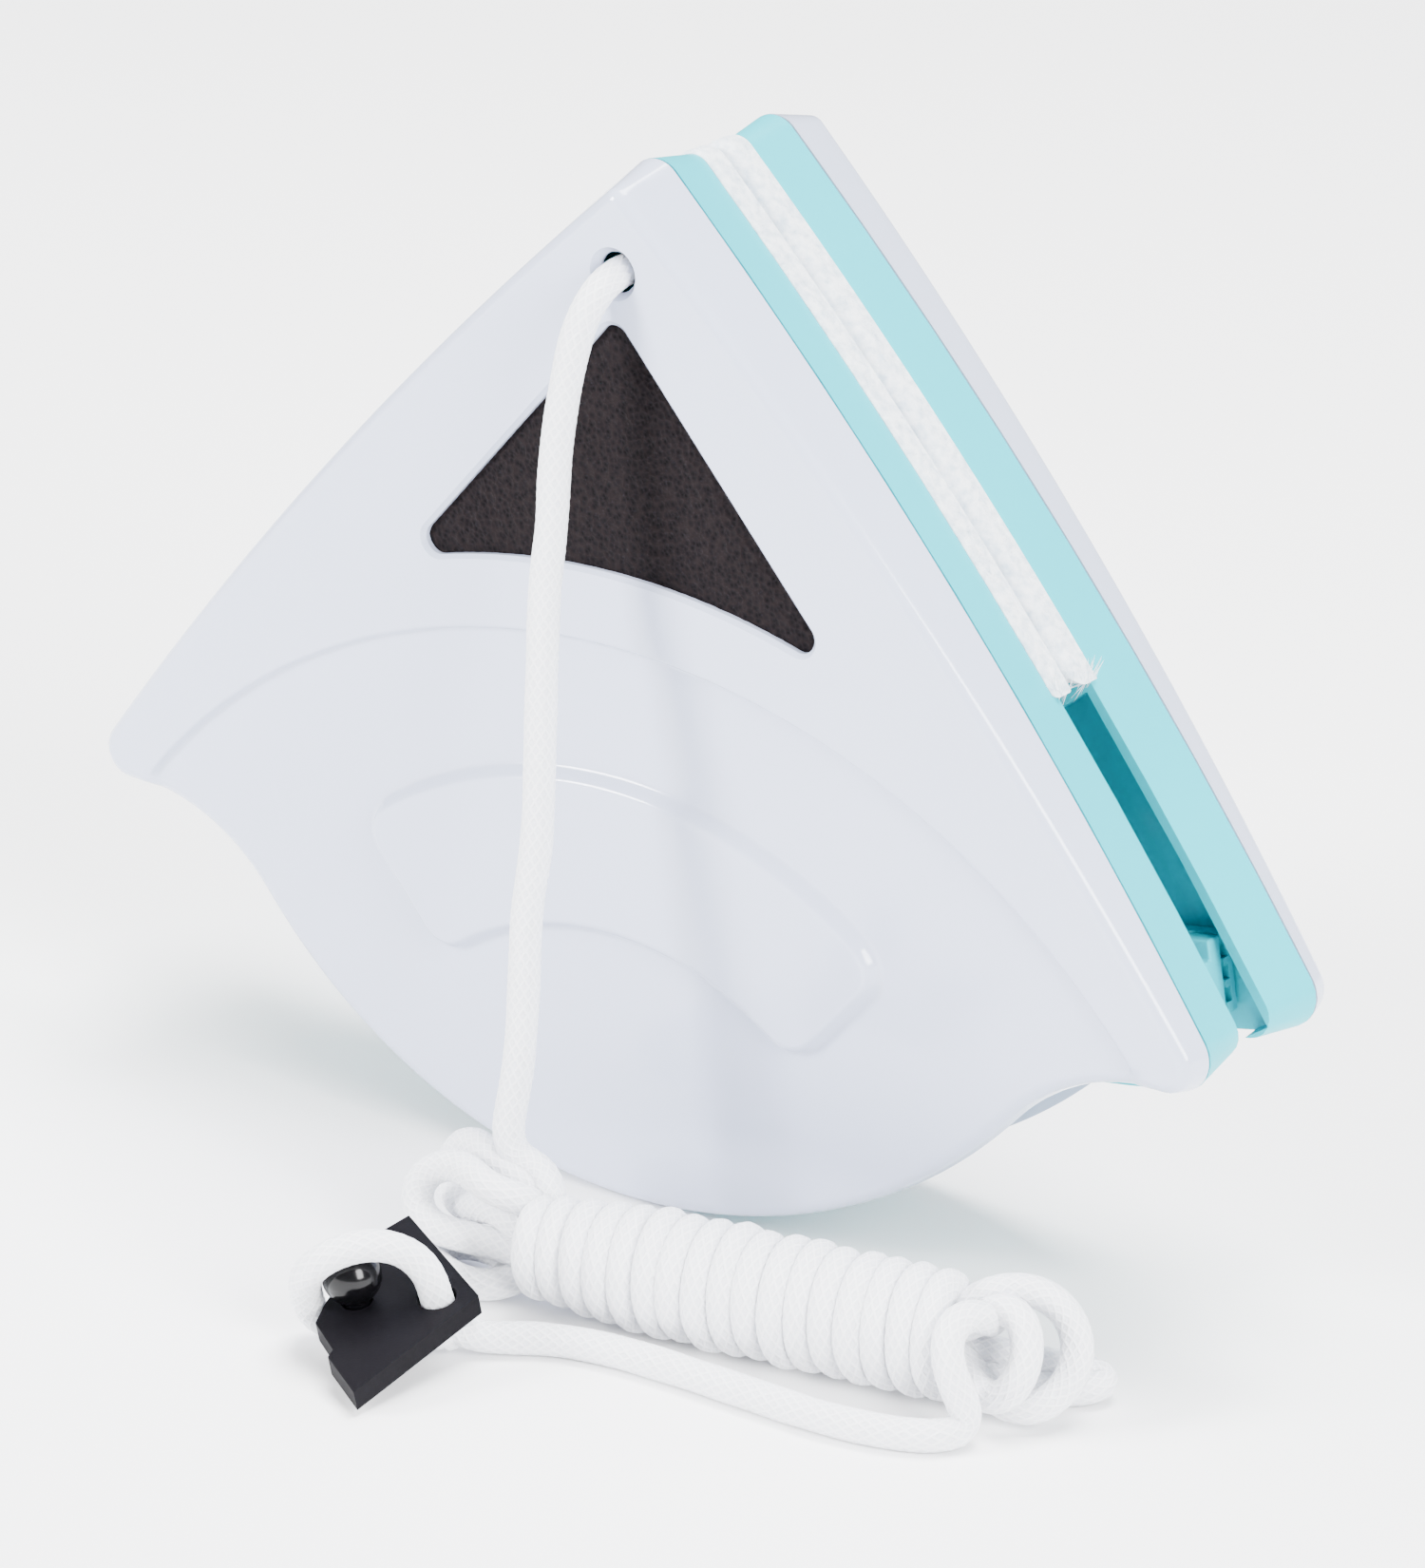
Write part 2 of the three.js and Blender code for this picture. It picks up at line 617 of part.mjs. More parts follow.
/** Bar on the channel's floor, with a groove for each blade's root. */
function buildBladeBar() {
  const floor = glassGap + channelDepth;
  let bar = slab(channelOutline(clearance), floor - barDepth, floor - clearance);
  for (let number = 0; number < bladeCount; number += 1) {
    const middle = bladeRadius(number);
    const wide = bladeThickness / 2 + clearance;
    const groove = strip(lowerCentre, middle - wide, middle + wide, channelSpan[0] + grooveEnd,
      channelSpan[1] - grooveEnd, 20);
    bar = bar.subtract(slab(groove, floor - barDepth - through, floor - barDepth + grooveDepth - clearance));
  }
  return geometryOf(bar);
}

/** Clip that holds the blades' ends: a block over the bar with a stepped nose. */
function buildEndClip(right) {
  const floor = glassGap + channelDepth - barDepth - clearance;
  const inset = clearance;
  const turn = (clipLength - 2 * clearance) / lowerRadius;
  const start = channelSpan[0] - inset / lowerRadius;
  const outline = strip(lowerCentre, channelInner + inset, channelOuter - inset, start, start - turn, 3);
  const nose = strip(lowerCentre, channelInner + noseInner, channelOuter - noseOuter, start,
    start - turn * noseShare, 3);
  const block = slab(outline, glassGap - clipProud, floor).add(slab(nose, glassGap - noseProud, glassGap));
  return geometryOf(right ? block : block.mirror([1, 0, 0]));
}

/** Steel plate over the magnets, inside the cover. */
function buildYoke() {
  const top = coverBack + yokeDepth;
  const plate = slab(frameOutline(rimWidth + yokeMargin), coverBack, top);
  const high = apexTop - yokeDrop;
  const low = Math.max(yokeLow, roomyAbove(yokeDepth + clearance));
  const band = rectangle(0, (high + low) / 2, 2 * far, high - low);
  const keep = slab(band, coverBack - through, top + through);
  const room = screwPlaces.map(([x, z]) => (
    slab(circle(x, z, bossRadius + clearance, 12), coverBack - through, top + through)
  ));
  return geometryOf(plate.intersect(keep).subtract(together(room)));
}

/** Block magnet in its pocket. */
function buildMagnet([x, z]) {
  return loft([
    ring(rectangle(x, z, magnetLength, magnetWidth), frameBack - magnetDepth),
    ring(rectangle(x, z, magnetLength, magnetWidth), frameBack),
  ]);
}

/** Screw with a flat head under the fleece and its point in the cover's boss. */
function buildScrew([x, z]) {
  const seat = glassGap + fleeceSeat;
  const head = slab(circle(x, z, screwHeadRadius, 12), seat, seat + screwHeadDepth);
  const shank = slab(circle(x, z, screwRadius, 10), seat + screwHeadDepth - 0.2, coverBack + screwBite);
  return geometryOf(head.add(shank));
}

/** All pieces of one half, facing +Y. */
function buildHalf(side, withCord) {
  const half = new THREE.Group();
  const add = (name, geometry, look) => half.add(mesh(`${side}_${name}`, geometry, look));
  add('cover', buildCover(withCord), whiteShell);
  add('foam', buildFoam(), charcoalFoam);
  add('frame', buildFrame(withCord), cyanFrame);
  add('fleece_pad', buildFleece(), fleece);
  add('yoke_plate', buildYoke(), yokeSteel);
  magnetPlaces.forEach((place, i) => add(`magnet_${i + 1}`, buildMagnet(place), magnetMetal));
  screwPlaces.forEach((place, i) => add(`screw_${i + 1}`, buildScrew(place), screwSteel));
  for (let i = 0; i < bladeCount; i += 1) add(`blade_${i + 1}`, buildBlade(i), clearRubber);
  add('blade_bar', buildBladeBar(), cyanFrame);
  add('end_clip_a', buildEndClip(true), cyanFrame);
  add('end_clip_b', buildEndClip(false), cyanFrame);
  return half;
}

// ---------- cord, hank and clip ----------

/** Cord tube along a route. */
function buildCord(route, steps) {
  const section = new THREE.Shape(arc(point(0, 0), cordDiameter / 2, 2 * Math.PI, 0, 8));
  const path = new THREE.CatmullRomCurve3(route.map((p) => new THREE.Vector3(...p)));
  return new THREE.ExtrudeGeometry(section, { extrudePath: path, steps });
}

/** Outer shape of the wound hank: an outline with round ends, lying flat. */
function buildHank() {
  const start = point(...hankStart);
  const end = point(...hankEnd);
  const heading = bearing(start, end);
  const radius = hankRadius - hankBevel;
  const outline = [
    ...arc(end, radius, heading + deg90, heading - deg90, 8),
    ...arc(start, radius, heading - deg90, heading - 3 * deg90, 8),
  ];
  const sides = [[end, heading - deg90], [start, heading - 3 * deg90]].map(([centre, turn]) => (
    point(centre.x + radius * Math.cos(turn), centre.y + radius * Math.sin(turn))
  ));
  outline.splice(8, 0, sides[0]);
  outline.push(sides[1]);
  const depth = hankHeight - 2 * hankBevel;
  const geometry = new THREE.ExtrudeGeometry(new THREE.Shape(outline), {
    depth, bevelThickness: hankBevel, bevelSize: hankBevel, bevelSegments: 2,
  });
  return geometry.translate(0, 0, hankBevel);
}

/** Knot on the cord, as a ball squeezed along one axis. */
function buildKnot(radius, squeeze) {
  return new THREE.SphereGeometry(radius, 14, 8).scale(1, squeeze, 1);
}

/** Flat outline extruded up to a height in the clip's frame. */
function plateSolid(outline, depth, top) {
  const block = new THREE.ExtrudeGeometry(new THREE.Shape(outline), { depth, bevelEnabled: false });
  return solid(block.translate(0, 0, top - depth));
}

/** Black clip plate, with holes for the cord and for the knob's shank. */
function buildClipPlate() {
  const plate = plateSolid(clipCorners.map(([u, v]) => point(u, v)), clipThickness, 0);
  const depth = clipThickness + 2 * through;
  const cordHole = plateSolid(circle(...clipHole, cordDiameter / 2 + clipHoleRoom), depth, through);
  const shankHole = plateSolid(circle(...knobPlace, knobShank + clearance, 12), depth, through);
  return geometryOf(plate.subtract(cordHole).subtract(shankHole));
}

/** Ball knob with the shank that holds it in the plate. */
function buildKnob() {
  const ball = solid(new THREE.SphereGeometry(knobRadius, 20, 12).rotateX(deg90).translate(0, 0, knobRise));
  const shank = plateSolid(circle(0, 0, knobShank, 12), clipThickness + knobRise, knobRise);
  return geometryOf(ball.add(shank)).translate(...knobPlace, 0);
}

const group = new THREE.Group();

const rearHalf = buildHalf('rear', false);
group.add(rearHalf);

const frontHalf = buildHalf('front', true);
frontHalf.rotation.z = Math.PI;
group.add(frontHalf);

const stopper = mesh('cord_stopper_knot', buildKnot(stopperRadius, 1), whiteCord);
stopper.position.set(0, -frameBack, holeHeight);
group.add(stopper);
group.add(mesh('cord_run', buildCord(runRoute, 22), whiteCord));
group.add(mesh('cord_hank', buildHank(), whiteCord));
group.add(mesh('cord_tail', buildCord(tailRoute, 14), whiteCord));

const clip = new THREE.Group();
clip.position.set(...clipPlace);
clip.rotation.set(0, -clipLean, clipHeading, 'ZYX');
clip.add(mesh('clip_plate', buildClipPlate(), blackPlastic));
clip.add(mesh('clip_knob', buildKnob(), blackPlastic));
clip.add(mesh('cord_loop', buildCord(loopRoute, 18), whiteCord));
const clipKnot = mesh('clip_knot', buildKnot(clipKnotRadius, 1), whiteCord);
clipKnot.position.set(...clipHole, -clipKnotDrop);
clip.add(clipKnot);
group.add(clip);

export default group;
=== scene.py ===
"""Looks of a double-sided magnetic glass cleaner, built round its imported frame.

Metres, +Z up. X runs along the glass and Y through it; the glass lies in Y = 0.
Every half is shaped facing +Y, and the front one is then turned half a turn about Z.
"""

import json
import logging
import math
from dataclasses import dataclass
from enum import Enum
from typing import Sequence

import bmesh
import bpy
import numpy as np
from mathutils import Matrix, Vector, geometry, kdtree

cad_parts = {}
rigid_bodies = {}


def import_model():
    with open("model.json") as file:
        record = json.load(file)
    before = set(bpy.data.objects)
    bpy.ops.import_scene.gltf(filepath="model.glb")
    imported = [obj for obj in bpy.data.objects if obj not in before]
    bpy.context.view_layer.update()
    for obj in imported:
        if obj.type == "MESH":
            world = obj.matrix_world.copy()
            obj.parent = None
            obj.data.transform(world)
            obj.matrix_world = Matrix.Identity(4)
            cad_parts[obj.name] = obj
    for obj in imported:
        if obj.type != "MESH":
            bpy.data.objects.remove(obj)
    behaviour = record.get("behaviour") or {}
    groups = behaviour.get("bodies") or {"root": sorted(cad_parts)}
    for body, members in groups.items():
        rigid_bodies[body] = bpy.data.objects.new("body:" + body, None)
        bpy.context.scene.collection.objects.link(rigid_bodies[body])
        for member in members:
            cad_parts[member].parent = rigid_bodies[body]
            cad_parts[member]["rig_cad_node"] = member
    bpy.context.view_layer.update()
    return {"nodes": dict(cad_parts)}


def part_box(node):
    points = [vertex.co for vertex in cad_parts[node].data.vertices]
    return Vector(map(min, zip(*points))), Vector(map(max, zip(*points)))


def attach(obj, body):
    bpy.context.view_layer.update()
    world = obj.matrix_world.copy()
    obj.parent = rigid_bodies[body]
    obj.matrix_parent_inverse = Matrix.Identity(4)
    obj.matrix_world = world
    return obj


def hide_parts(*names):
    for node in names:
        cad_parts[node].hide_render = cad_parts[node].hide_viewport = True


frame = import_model()
MM = 0.001
TURN = 2 * math.pi
QUARTER = math.pi / 2
LOG = logging.getLogger("glass_cleaner")

Outline = np.ndarray
Route = Sequence[tuple[float, float, float]]


class Side(Enum):
    """The two halves, and the body that each one is."""

    FRONT = "front"
    REAR = "rear"

    @property
    def body(self) -> str:
        """Name of the body that this half's pieces ride on."""
        return f"{self.value}_half"

    @property
    def turn(self) -> float:
        """Factor that turns a shape facing +Y to where this half faces."""
        return -1.0 if self is Side.FRONT else 1.0


# ---------- plane geometry ----------


def circles_meet(a: np.ndarray, ra: float, b: np.ndarray, rb: float) -> np.ndarray:
    """Meeting point of two circles on the right of the way from a to b.

    Args:
        a: centre of the first circle.
        ra: its radius.
        b: centre of the second circle.
        rb: its radius.

    Returns:
        The meeting point.
    """
    way = b - a
    distance = float(np.hypot(*way))
    along = (ra * ra - rb * rb + distance * distance) / (2 * distance)
    across = math.sqrt(max(ra * ra - along * along, 0.0))
    way = way / distance
    return a + way * along + np.array([way[1], -way[0]]) * across


def bearing(start: np.ndarray, end: np.ndarray) -> float:
    """Bearing of end seen from start."""
    return math.atan2(end[1] - start[1], end[0] - start[0])


def arc(
    centre: np.ndarray, radius: float, start: float, end: float, steps: int, clockwise: bool = True
) -> Outline:
    """Points of an arc without its last one.

    Args:
        centre: centre of the arc.
        radius: its radius.
        start: bearing of its first point.
        end: bearing at which it ends.
        steps: number of points.
        clockwise: way round.

    Returns:
        The points, one in each row.
    """
    while clockwise and end > start:
        end -= 2 * math.pi
    while not clockwise and end < start:
        end += 2 * math.pi
    angles = start + (end - start) * np.arange(steps) / steps
    return np.stack([centre[0] + radius * np.cos(angles), centre[1] + radius * np.sin(angles)], 1)


def mirrored(right: Outline) -> Outline:
    """Whole outline from its right half, which runs from the top to the bottom."""
    left = right[1:-1][::-1] * np.array([-1.0, 1.0])
    return np.concatenate([right, left])


def distance_to(points: np.ndarray, loop: Outline) -> np.ndarray:
    """Distance from each point to a closed loop of segments.

    Args:
        points: points, one in each row.
        loop: points of the loop.

    Returns:
        One distance for each point.
    """
    best = np.full(len(points), np.inf)
    for a, b in zip(loop, np.roll(loop, -1, 0)):
        way = b - a
        share = np.clip(((points - a) @ way) / max(float(way @ way), 1e-18), 0, 1)
        best = np.minimum(best, np.hypot(*(points - a - share[:, None] * way).T))
    return best


def inside(points: np.ndarray, loop: Outline) -> np.ndarray:
    """Whether each point lies inside a closed loop.

    Args:
        points: points, one in each row.
        loop: points of the loop.

    Returns:
        True for each point inside it.
    """
    found = np.zeros(len(points), bool)
    for a, b in zip(loop, np.roll(loop, -1, 0)):
        crosses = (a[1] > points[:, 1]) != (b[1] > points[:, 1])
        with np.errstate(divide="ignore", invalid="ignore"):
            at = a[0] + (points[:, 1] - a[1]) * (b[0] - a[0]) / (b[1] - a[1])
        found ^= crosses & (points[:, 0] < at)
    return found


def smooth(share: np.ndarray) -> np.ndarray:
    """Soft step from 0 to 1 as share goes from 0 to 1."""
    t = np.clip(share, 0, 1)
    return t * t * t * (t * (6 * t - 15) + 10)


def round_edge(distance: np.ndarray, radius: float) -> np.ndarray:
    """How far a rounded edge has dropped at a distance in from where it ends."""
    into = np.clip(1 - distance / radius, 0, 1)
    return radius * (1 - np.sqrt(1 - into * into))


# ---------- outlines of the cleaner ----------


@dataclass(frozen=True)
class Shield:
    """Outline of a half, seen along Y, with the layers that both halves share."""

    half_width: float
    apex_top: float
    apex_radius: float = 0.0035
    corner_height: float = 0.0368
    corner_radius: float = 0.004
    side_radius: float = 0.56
    bulge_radius: float = 0.0674
    neck_radius: float = 0.025
    frame_sag: float = 0.007
    glass_gap: float = 0.00315
    frame_depth: float = 0.00775
    clearance: float = 0.0003
    cover_depth: float = 0.00635
    face_height: float = 0.078
    face_tilt: float = 0.05
    least_apex: float = 0.0006
    least_corner: float = 0.0008
    corner_slide: float = 1.9
    apex_steps: int = 10
    side_steps: int = 84
    corner_steps: int = 16
    neck_steps: int = 22
    bulge_steps: int = 64
    low_steps: int = 60

    @property
    def frame_back(self) -> float:
        """Height of the frame's back over the glass plane."""
        return self.glass_gap + self.frame_depth

    @property
    def cover_back(self) -> float:
        """Height of the cover's back over the glass plane."""
        return self.frame_back + self.clearance

    @property
    def corner(self) -> np.ndarray:
        """Centre of the rounded lower corner on the right."""
        return np.array([self.half_width - self.corner_radius, self.corner_height])

    @property
    def side_centre(self) -> np.ndarray:
        """Centre of the long convex side on the right.

        Returns:
            The centre, as x and z.
        """
        apex = np.array([0.0, self.apex_top - self.apex_radius])
        reach = self.side_radius
        return circles_meet(apex, reach - self.apex_radius, self.corner, reach - self.corner_radius)

    @property
    def lower_arc(self) -> tuple[np.ndarray, float]:
        """Centre and radius of the frame's lower edge.

        Returns:
            The centre, as x and z, and the radius.
        """
        drop = self.corner_radius + self.frame_sag
        radius = (self.corner[0] ** 2 + drop**2 - self.corner_radius**2) / (2 * self.frame_sag)
        return np.array([0.0, self.corner_height - drop + radius]), radius

    def face_at(self, z: np.ndarray) -> np.ndarray:
        """Height of the smooth face over the glass plane at height z."""
        return self.frame_back + self.cover_depth + self.face_tilt * (z - self.face_height)

    def side_at(self, z: float) -> float:
        """Half the width at height z, on the convex side."""
        centre = self.side_centre
        return float(centre[0] + math.sqrt(self.side_radius**2 - (z - centre[1]) ** 2))

    def apex_and_side(self, inset: float, foot: np.ndarray, steps: int) -> Outline:
        """Apex and right side drawn in by inset, down to a point.

        Args:
            inset: how far it is drawn in.
            foot: point where the side ends.
            steps: points along the side.

        Returns:
            The points, without the foot.
        """
        radius = max(self.apex_radius - inset, self.least_apex)
        centre = self.side_centre
        reach = self.side_radius - inset - radius
        top = np.array([0.0, centre[1] + math.sqrt(reach**2 - centre[0] ** 2)])
        turn = bearing(centre, top)
        side = arc(centre, self.side_radius - inset, turn, bearing(centre, foot), steps)
        return np.concatenate([arc(top, radius, QUARTER, turn, self.apex_steps), side])

    def cover(self, inset: float) -> Outline:
        """Outline of the cover with its fan, drawn in by inset.

        Args:
            inset: how far it is drawn in.

        Returns:
            The outline, the same number of points for every inset.
        """
        radius = max(self.corner_radius - inset, self.least_corner)
        slide = self.corner_slide * (inset - self.corner_radius + radius)
        x = self.corner[0] - slide
        centre = self.side_centre
        reach = self.side_radius - inset - radius
        corner = np.array([x, centre[1] + math.sqrt(reach**2 - (x - centre[0]) ** 2)])
        neck = self.neck_radius + inset
        bulge_centre = np.array([0.0, self.bulge_radius])
        neck_centre = circles_meet(bulge_centre, self.bulge_radius + self.neck_radius, corner, radius + neck)
        bulge = self.bulge_radius - inset
        foot = bearing(neck_centre, bulge_centre)
        right = np.concatenate([
            self.apex_and_side(inset, corner, self.side_steps),
            arc(corner, radius, bearing(centre, corner), bearing(corner, neck_centre), self.corner_steps),
            arc(neck_centre, neck, bearing(neck_centre, corner), foot, self.neck_steps, clockwise=False),
            arc(bulge_centre, bulge, bearing(bulge_centre, neck_centre), -QUARTER, self.bulge_steps),
            [[0.0, bulge_centre[1] - bulge]],
        ])
        return mirrored(right)

    def frame(self, inset: float) -> Outline:
        """Outline of the glass-side frame, drawn in by inset.

        Args:
            inset: how far it is drawn in.

        Returns:
            The outline.
        """
        radius = max(self.corner_radius - inset, self.least_corner)
        low_centre, low_radius = self.lower_arc
        centre = self.side_centre
        reach, low_reach = self.side_radius - inset - radius, low_radius - inset - radius
        corner = circles_meet(centre, reach, low_centre, low_reach)
        start = bearing(low_centre, corner)
        right = np.concatenate([
            self.apex_and_side(inset, corner, self.side_steps),
            arc(corner, radius, bearing(centre, corner), start, self.corner_steps),
            arc(low_centre, low_radius - inset, start, -QUARTER, self.low_steps),
            [[0.0, low_centre[1] - low_radius + inset]],
        ])
        return mirrored(right)


COVER_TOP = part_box("rear_cover")[1]
SHIELD = Shield(half_width=float(COVER_TOP.x), apex_top=float(COVER_TOP.z))


# ---------- meshes ----------


def show(name: str, data: bpy.types.ID) -> bpy.types.Object:
    """Puts a mesh, a light or a camera in the scene.

    Args:
        name: name of the object.
        data: what it shows.

    Returns:
        The object.
    """
    made = bpy.data.objects.new(name, data)
    bpy.context.scene.collection.objects.link(made)
    return made


def point_tree(points: np.ndarray) -> kdtree.KDTree:
    """Tree that finds the nearest point.

    Args:
        points: points as x and z, one in each row.

    Returns:
        The tree, in which a point stands at (x, z, 0).
    """
    tree = kdtree.KDTree(len(points))
    for number, (x, z) in enumerate(points):
        tree.insert((x, z, 0), number)
    tree.balance()
    return tree


class Body:
    """Points and faces gathered for one mesh, shaped facing +Y."""

    def __init__(self) -> None:
        """Starts with nothing."""
        self.points: list[np.ndarray] = []
        self.faces: list[tuple[int, ...]] = []
        self.count = 0

    def add(self, points: np.ndarray) -> int:
        """Adds points.

        Args:
            points: points, one in each row.

        Returns:
            Number of the first one.
        """
        first = self.count
        self.points.append(np.asarray(points, float))
        self.count += len(points)
        return first

    def ring(self, loop: Outline, y: np.ndarray | float) -> np.ndarray:
        """Adds a loop at height y.

        Args:
            loop: points of the loop, as x and z.
            y: one height, or one for each point.

        Returns:
            Numbers of its points.
        """
        heights = np.broadcast_to(y, len(loop))
        first = self.add(np.stack([loop[:, 0], heights, loop[:, 1]], 1))
        return np.arange(first, self.count)

    def sheet(self, flat: Outline, y: np.ndarray, triangles: np.ndarray) -> int:
        """Adds a triangulated face at heights y.

        Args:
            flat: its points, as x and z.
            y: height of each point.
            triangles: numbers of each triangle's points.

        Returns:
            Number of its first point.
        """
        first = self.add(np.stack([flat[:, 0], y, flat[:, 1]], 1))
        self.faces += [tuple(int(i) + first for i in t) for t in triangles]
        return first

    def join(self, low: np.ndarray, high: np.ndarray, flip: bool = False) -> None:
        """Joins two loops of points with a band of faces.

        Args:
            low: numbers of the first loop's points.
            high: numbers of the second loop's points.
            flip: whether the faces look the other way.
        """
        for a, b, c, d in zip(low, np.roll(low, -1), np.roll(high, -1), high):
            face = (int(a), int(b), int(c), int(d))
            self.faces.append(face[::-1] if flip else face)

    def mesh(self, name: str, turn: float = 1.0, sharp: float = 40.0) -> bpy.types.Object:
        """Makes the object.

        Args:
            name: name of the piece.
            turn: 1 for a shape facing +Y, -1 to turn it half a turn about Z.
            sharp: edges with a larger angle, in degrees, shade sharp.

        Returns:
            The new object.
        """
        points = np.concatenate(self.points) * np.array([turn, turn, 1.0])
        data = bpy.data.meshes.new(name)
        data.from_pydata(points.tolist(), [], self.faces)
        data.validate()
        data.shade_smooth()
        data.set_sharp_from_angle(angle=math.radians(sharp))
        return show(name, data)


@dataclass(frozen=True)
class Relief:
    """Face that is a height over the X-Z plane, with lines that its edges follow."""

    border: Outline
    holes: tuple[Outline, ...]
    lines: tuple[tuple[Outline, bool], ...]
    pitch: float
    margin: float = 0.22
    row: float = 0.87
    spread: float = 0.55

    def holds(self, points: np.ndarray) -> np.ndarray:
        """Finds which points the face holds.

        Args:
            points: points as x and z.

        Returns:
            Whether each one lies inside the border and outside every hole.
        """
        keep = inside(points, self.border)
        for hole in self.holes:
            keep &= ~inside(points, hole)
        return keep

    def build(self) -> tuple[np.ndarray, np.ndarray]:
        """Triangulates the face.

        Returns:
            Points as x and z, the border's and holes' own first, and triangles.
        """
        loops = [self.border, *self.holes]
        fixed = np.concatenate(loops)
        extra: list[np.ndarray] = []
        edges: list[tuple[int, int]] = []
        start = 0
        for loop in loops:
            numbers = np.arange(start, start + len(loop))
            edges += list(zip(numbers.tolist(), np.roll(numbers, -1).tolist()))
            start += len(loop)
        margin = self.pitch * self.margin
        for line, closed in self.lines:
            free = inside(line, self.border) & (distance_to(line, self.border) > margin)
            for hole in self.holes:
                free &= ~inside(line, hole) & (distance_to(line, hole) > margin)
            numbers = np.cumsum(free) - 1 + start
            ends = range(len(line)) if closed else range(len(line) - 1)
            edges += [(int(numbers[i]), int(numbers[(i + 1) % len(line)])) for i in ends
                      if free[i] and free[(i + 1) % len(line)]]
            extra.append(line[free])
            start += int(free.sum())
        fixed = np.concatenate([fixed, *extra])
        near = point_tree(fixed)
        low, high = self.border.min(0), self.border.max(0)
        rows = np.arange(low[1], high[1], self.pitch * self.row)
        across = np.arange(low[0], high[0], self.pitch)
        grid = np.concatenate([
            np.stack([across + (row % 2) * self.pitch / 2, np.full(len(across), z)], 1)
            for row, z in enumerate(rows)
        ])
        grid = grid[self.holds(grid)]
        grid = np.array([p for p in grid if near.find((p[0], p[1], 0))[2] > self.spread * self.pitch])
        points = np.concatenate([fixed, grid])
        scaled = [Vector((x / MM, z / MM)) for x, z in points]
        flat, _, faces, _, _, _ = geometry.delaunay_2d_cdt(scaled, edges, [], 0, 1e-6, True)
        flat_points = np.array([(p.x * MM, p.y * MM) for p in flat])
        triangles = np.array([f for f in faces if len(f) == 3])
        return flat_points, triangles[self.holds(flat_points[triangles].mean(1))]


def loop_numbers(points: np.ndarray, loop: Outline) -> np.ndarray:
    """Numbers of the points that lie on a loop's own points, in its order."""
    tree = point_tree(points)
    return np.array([tree.find((p[0], p[1], 0))[1] for p in loop])


# ---------- materials ----------


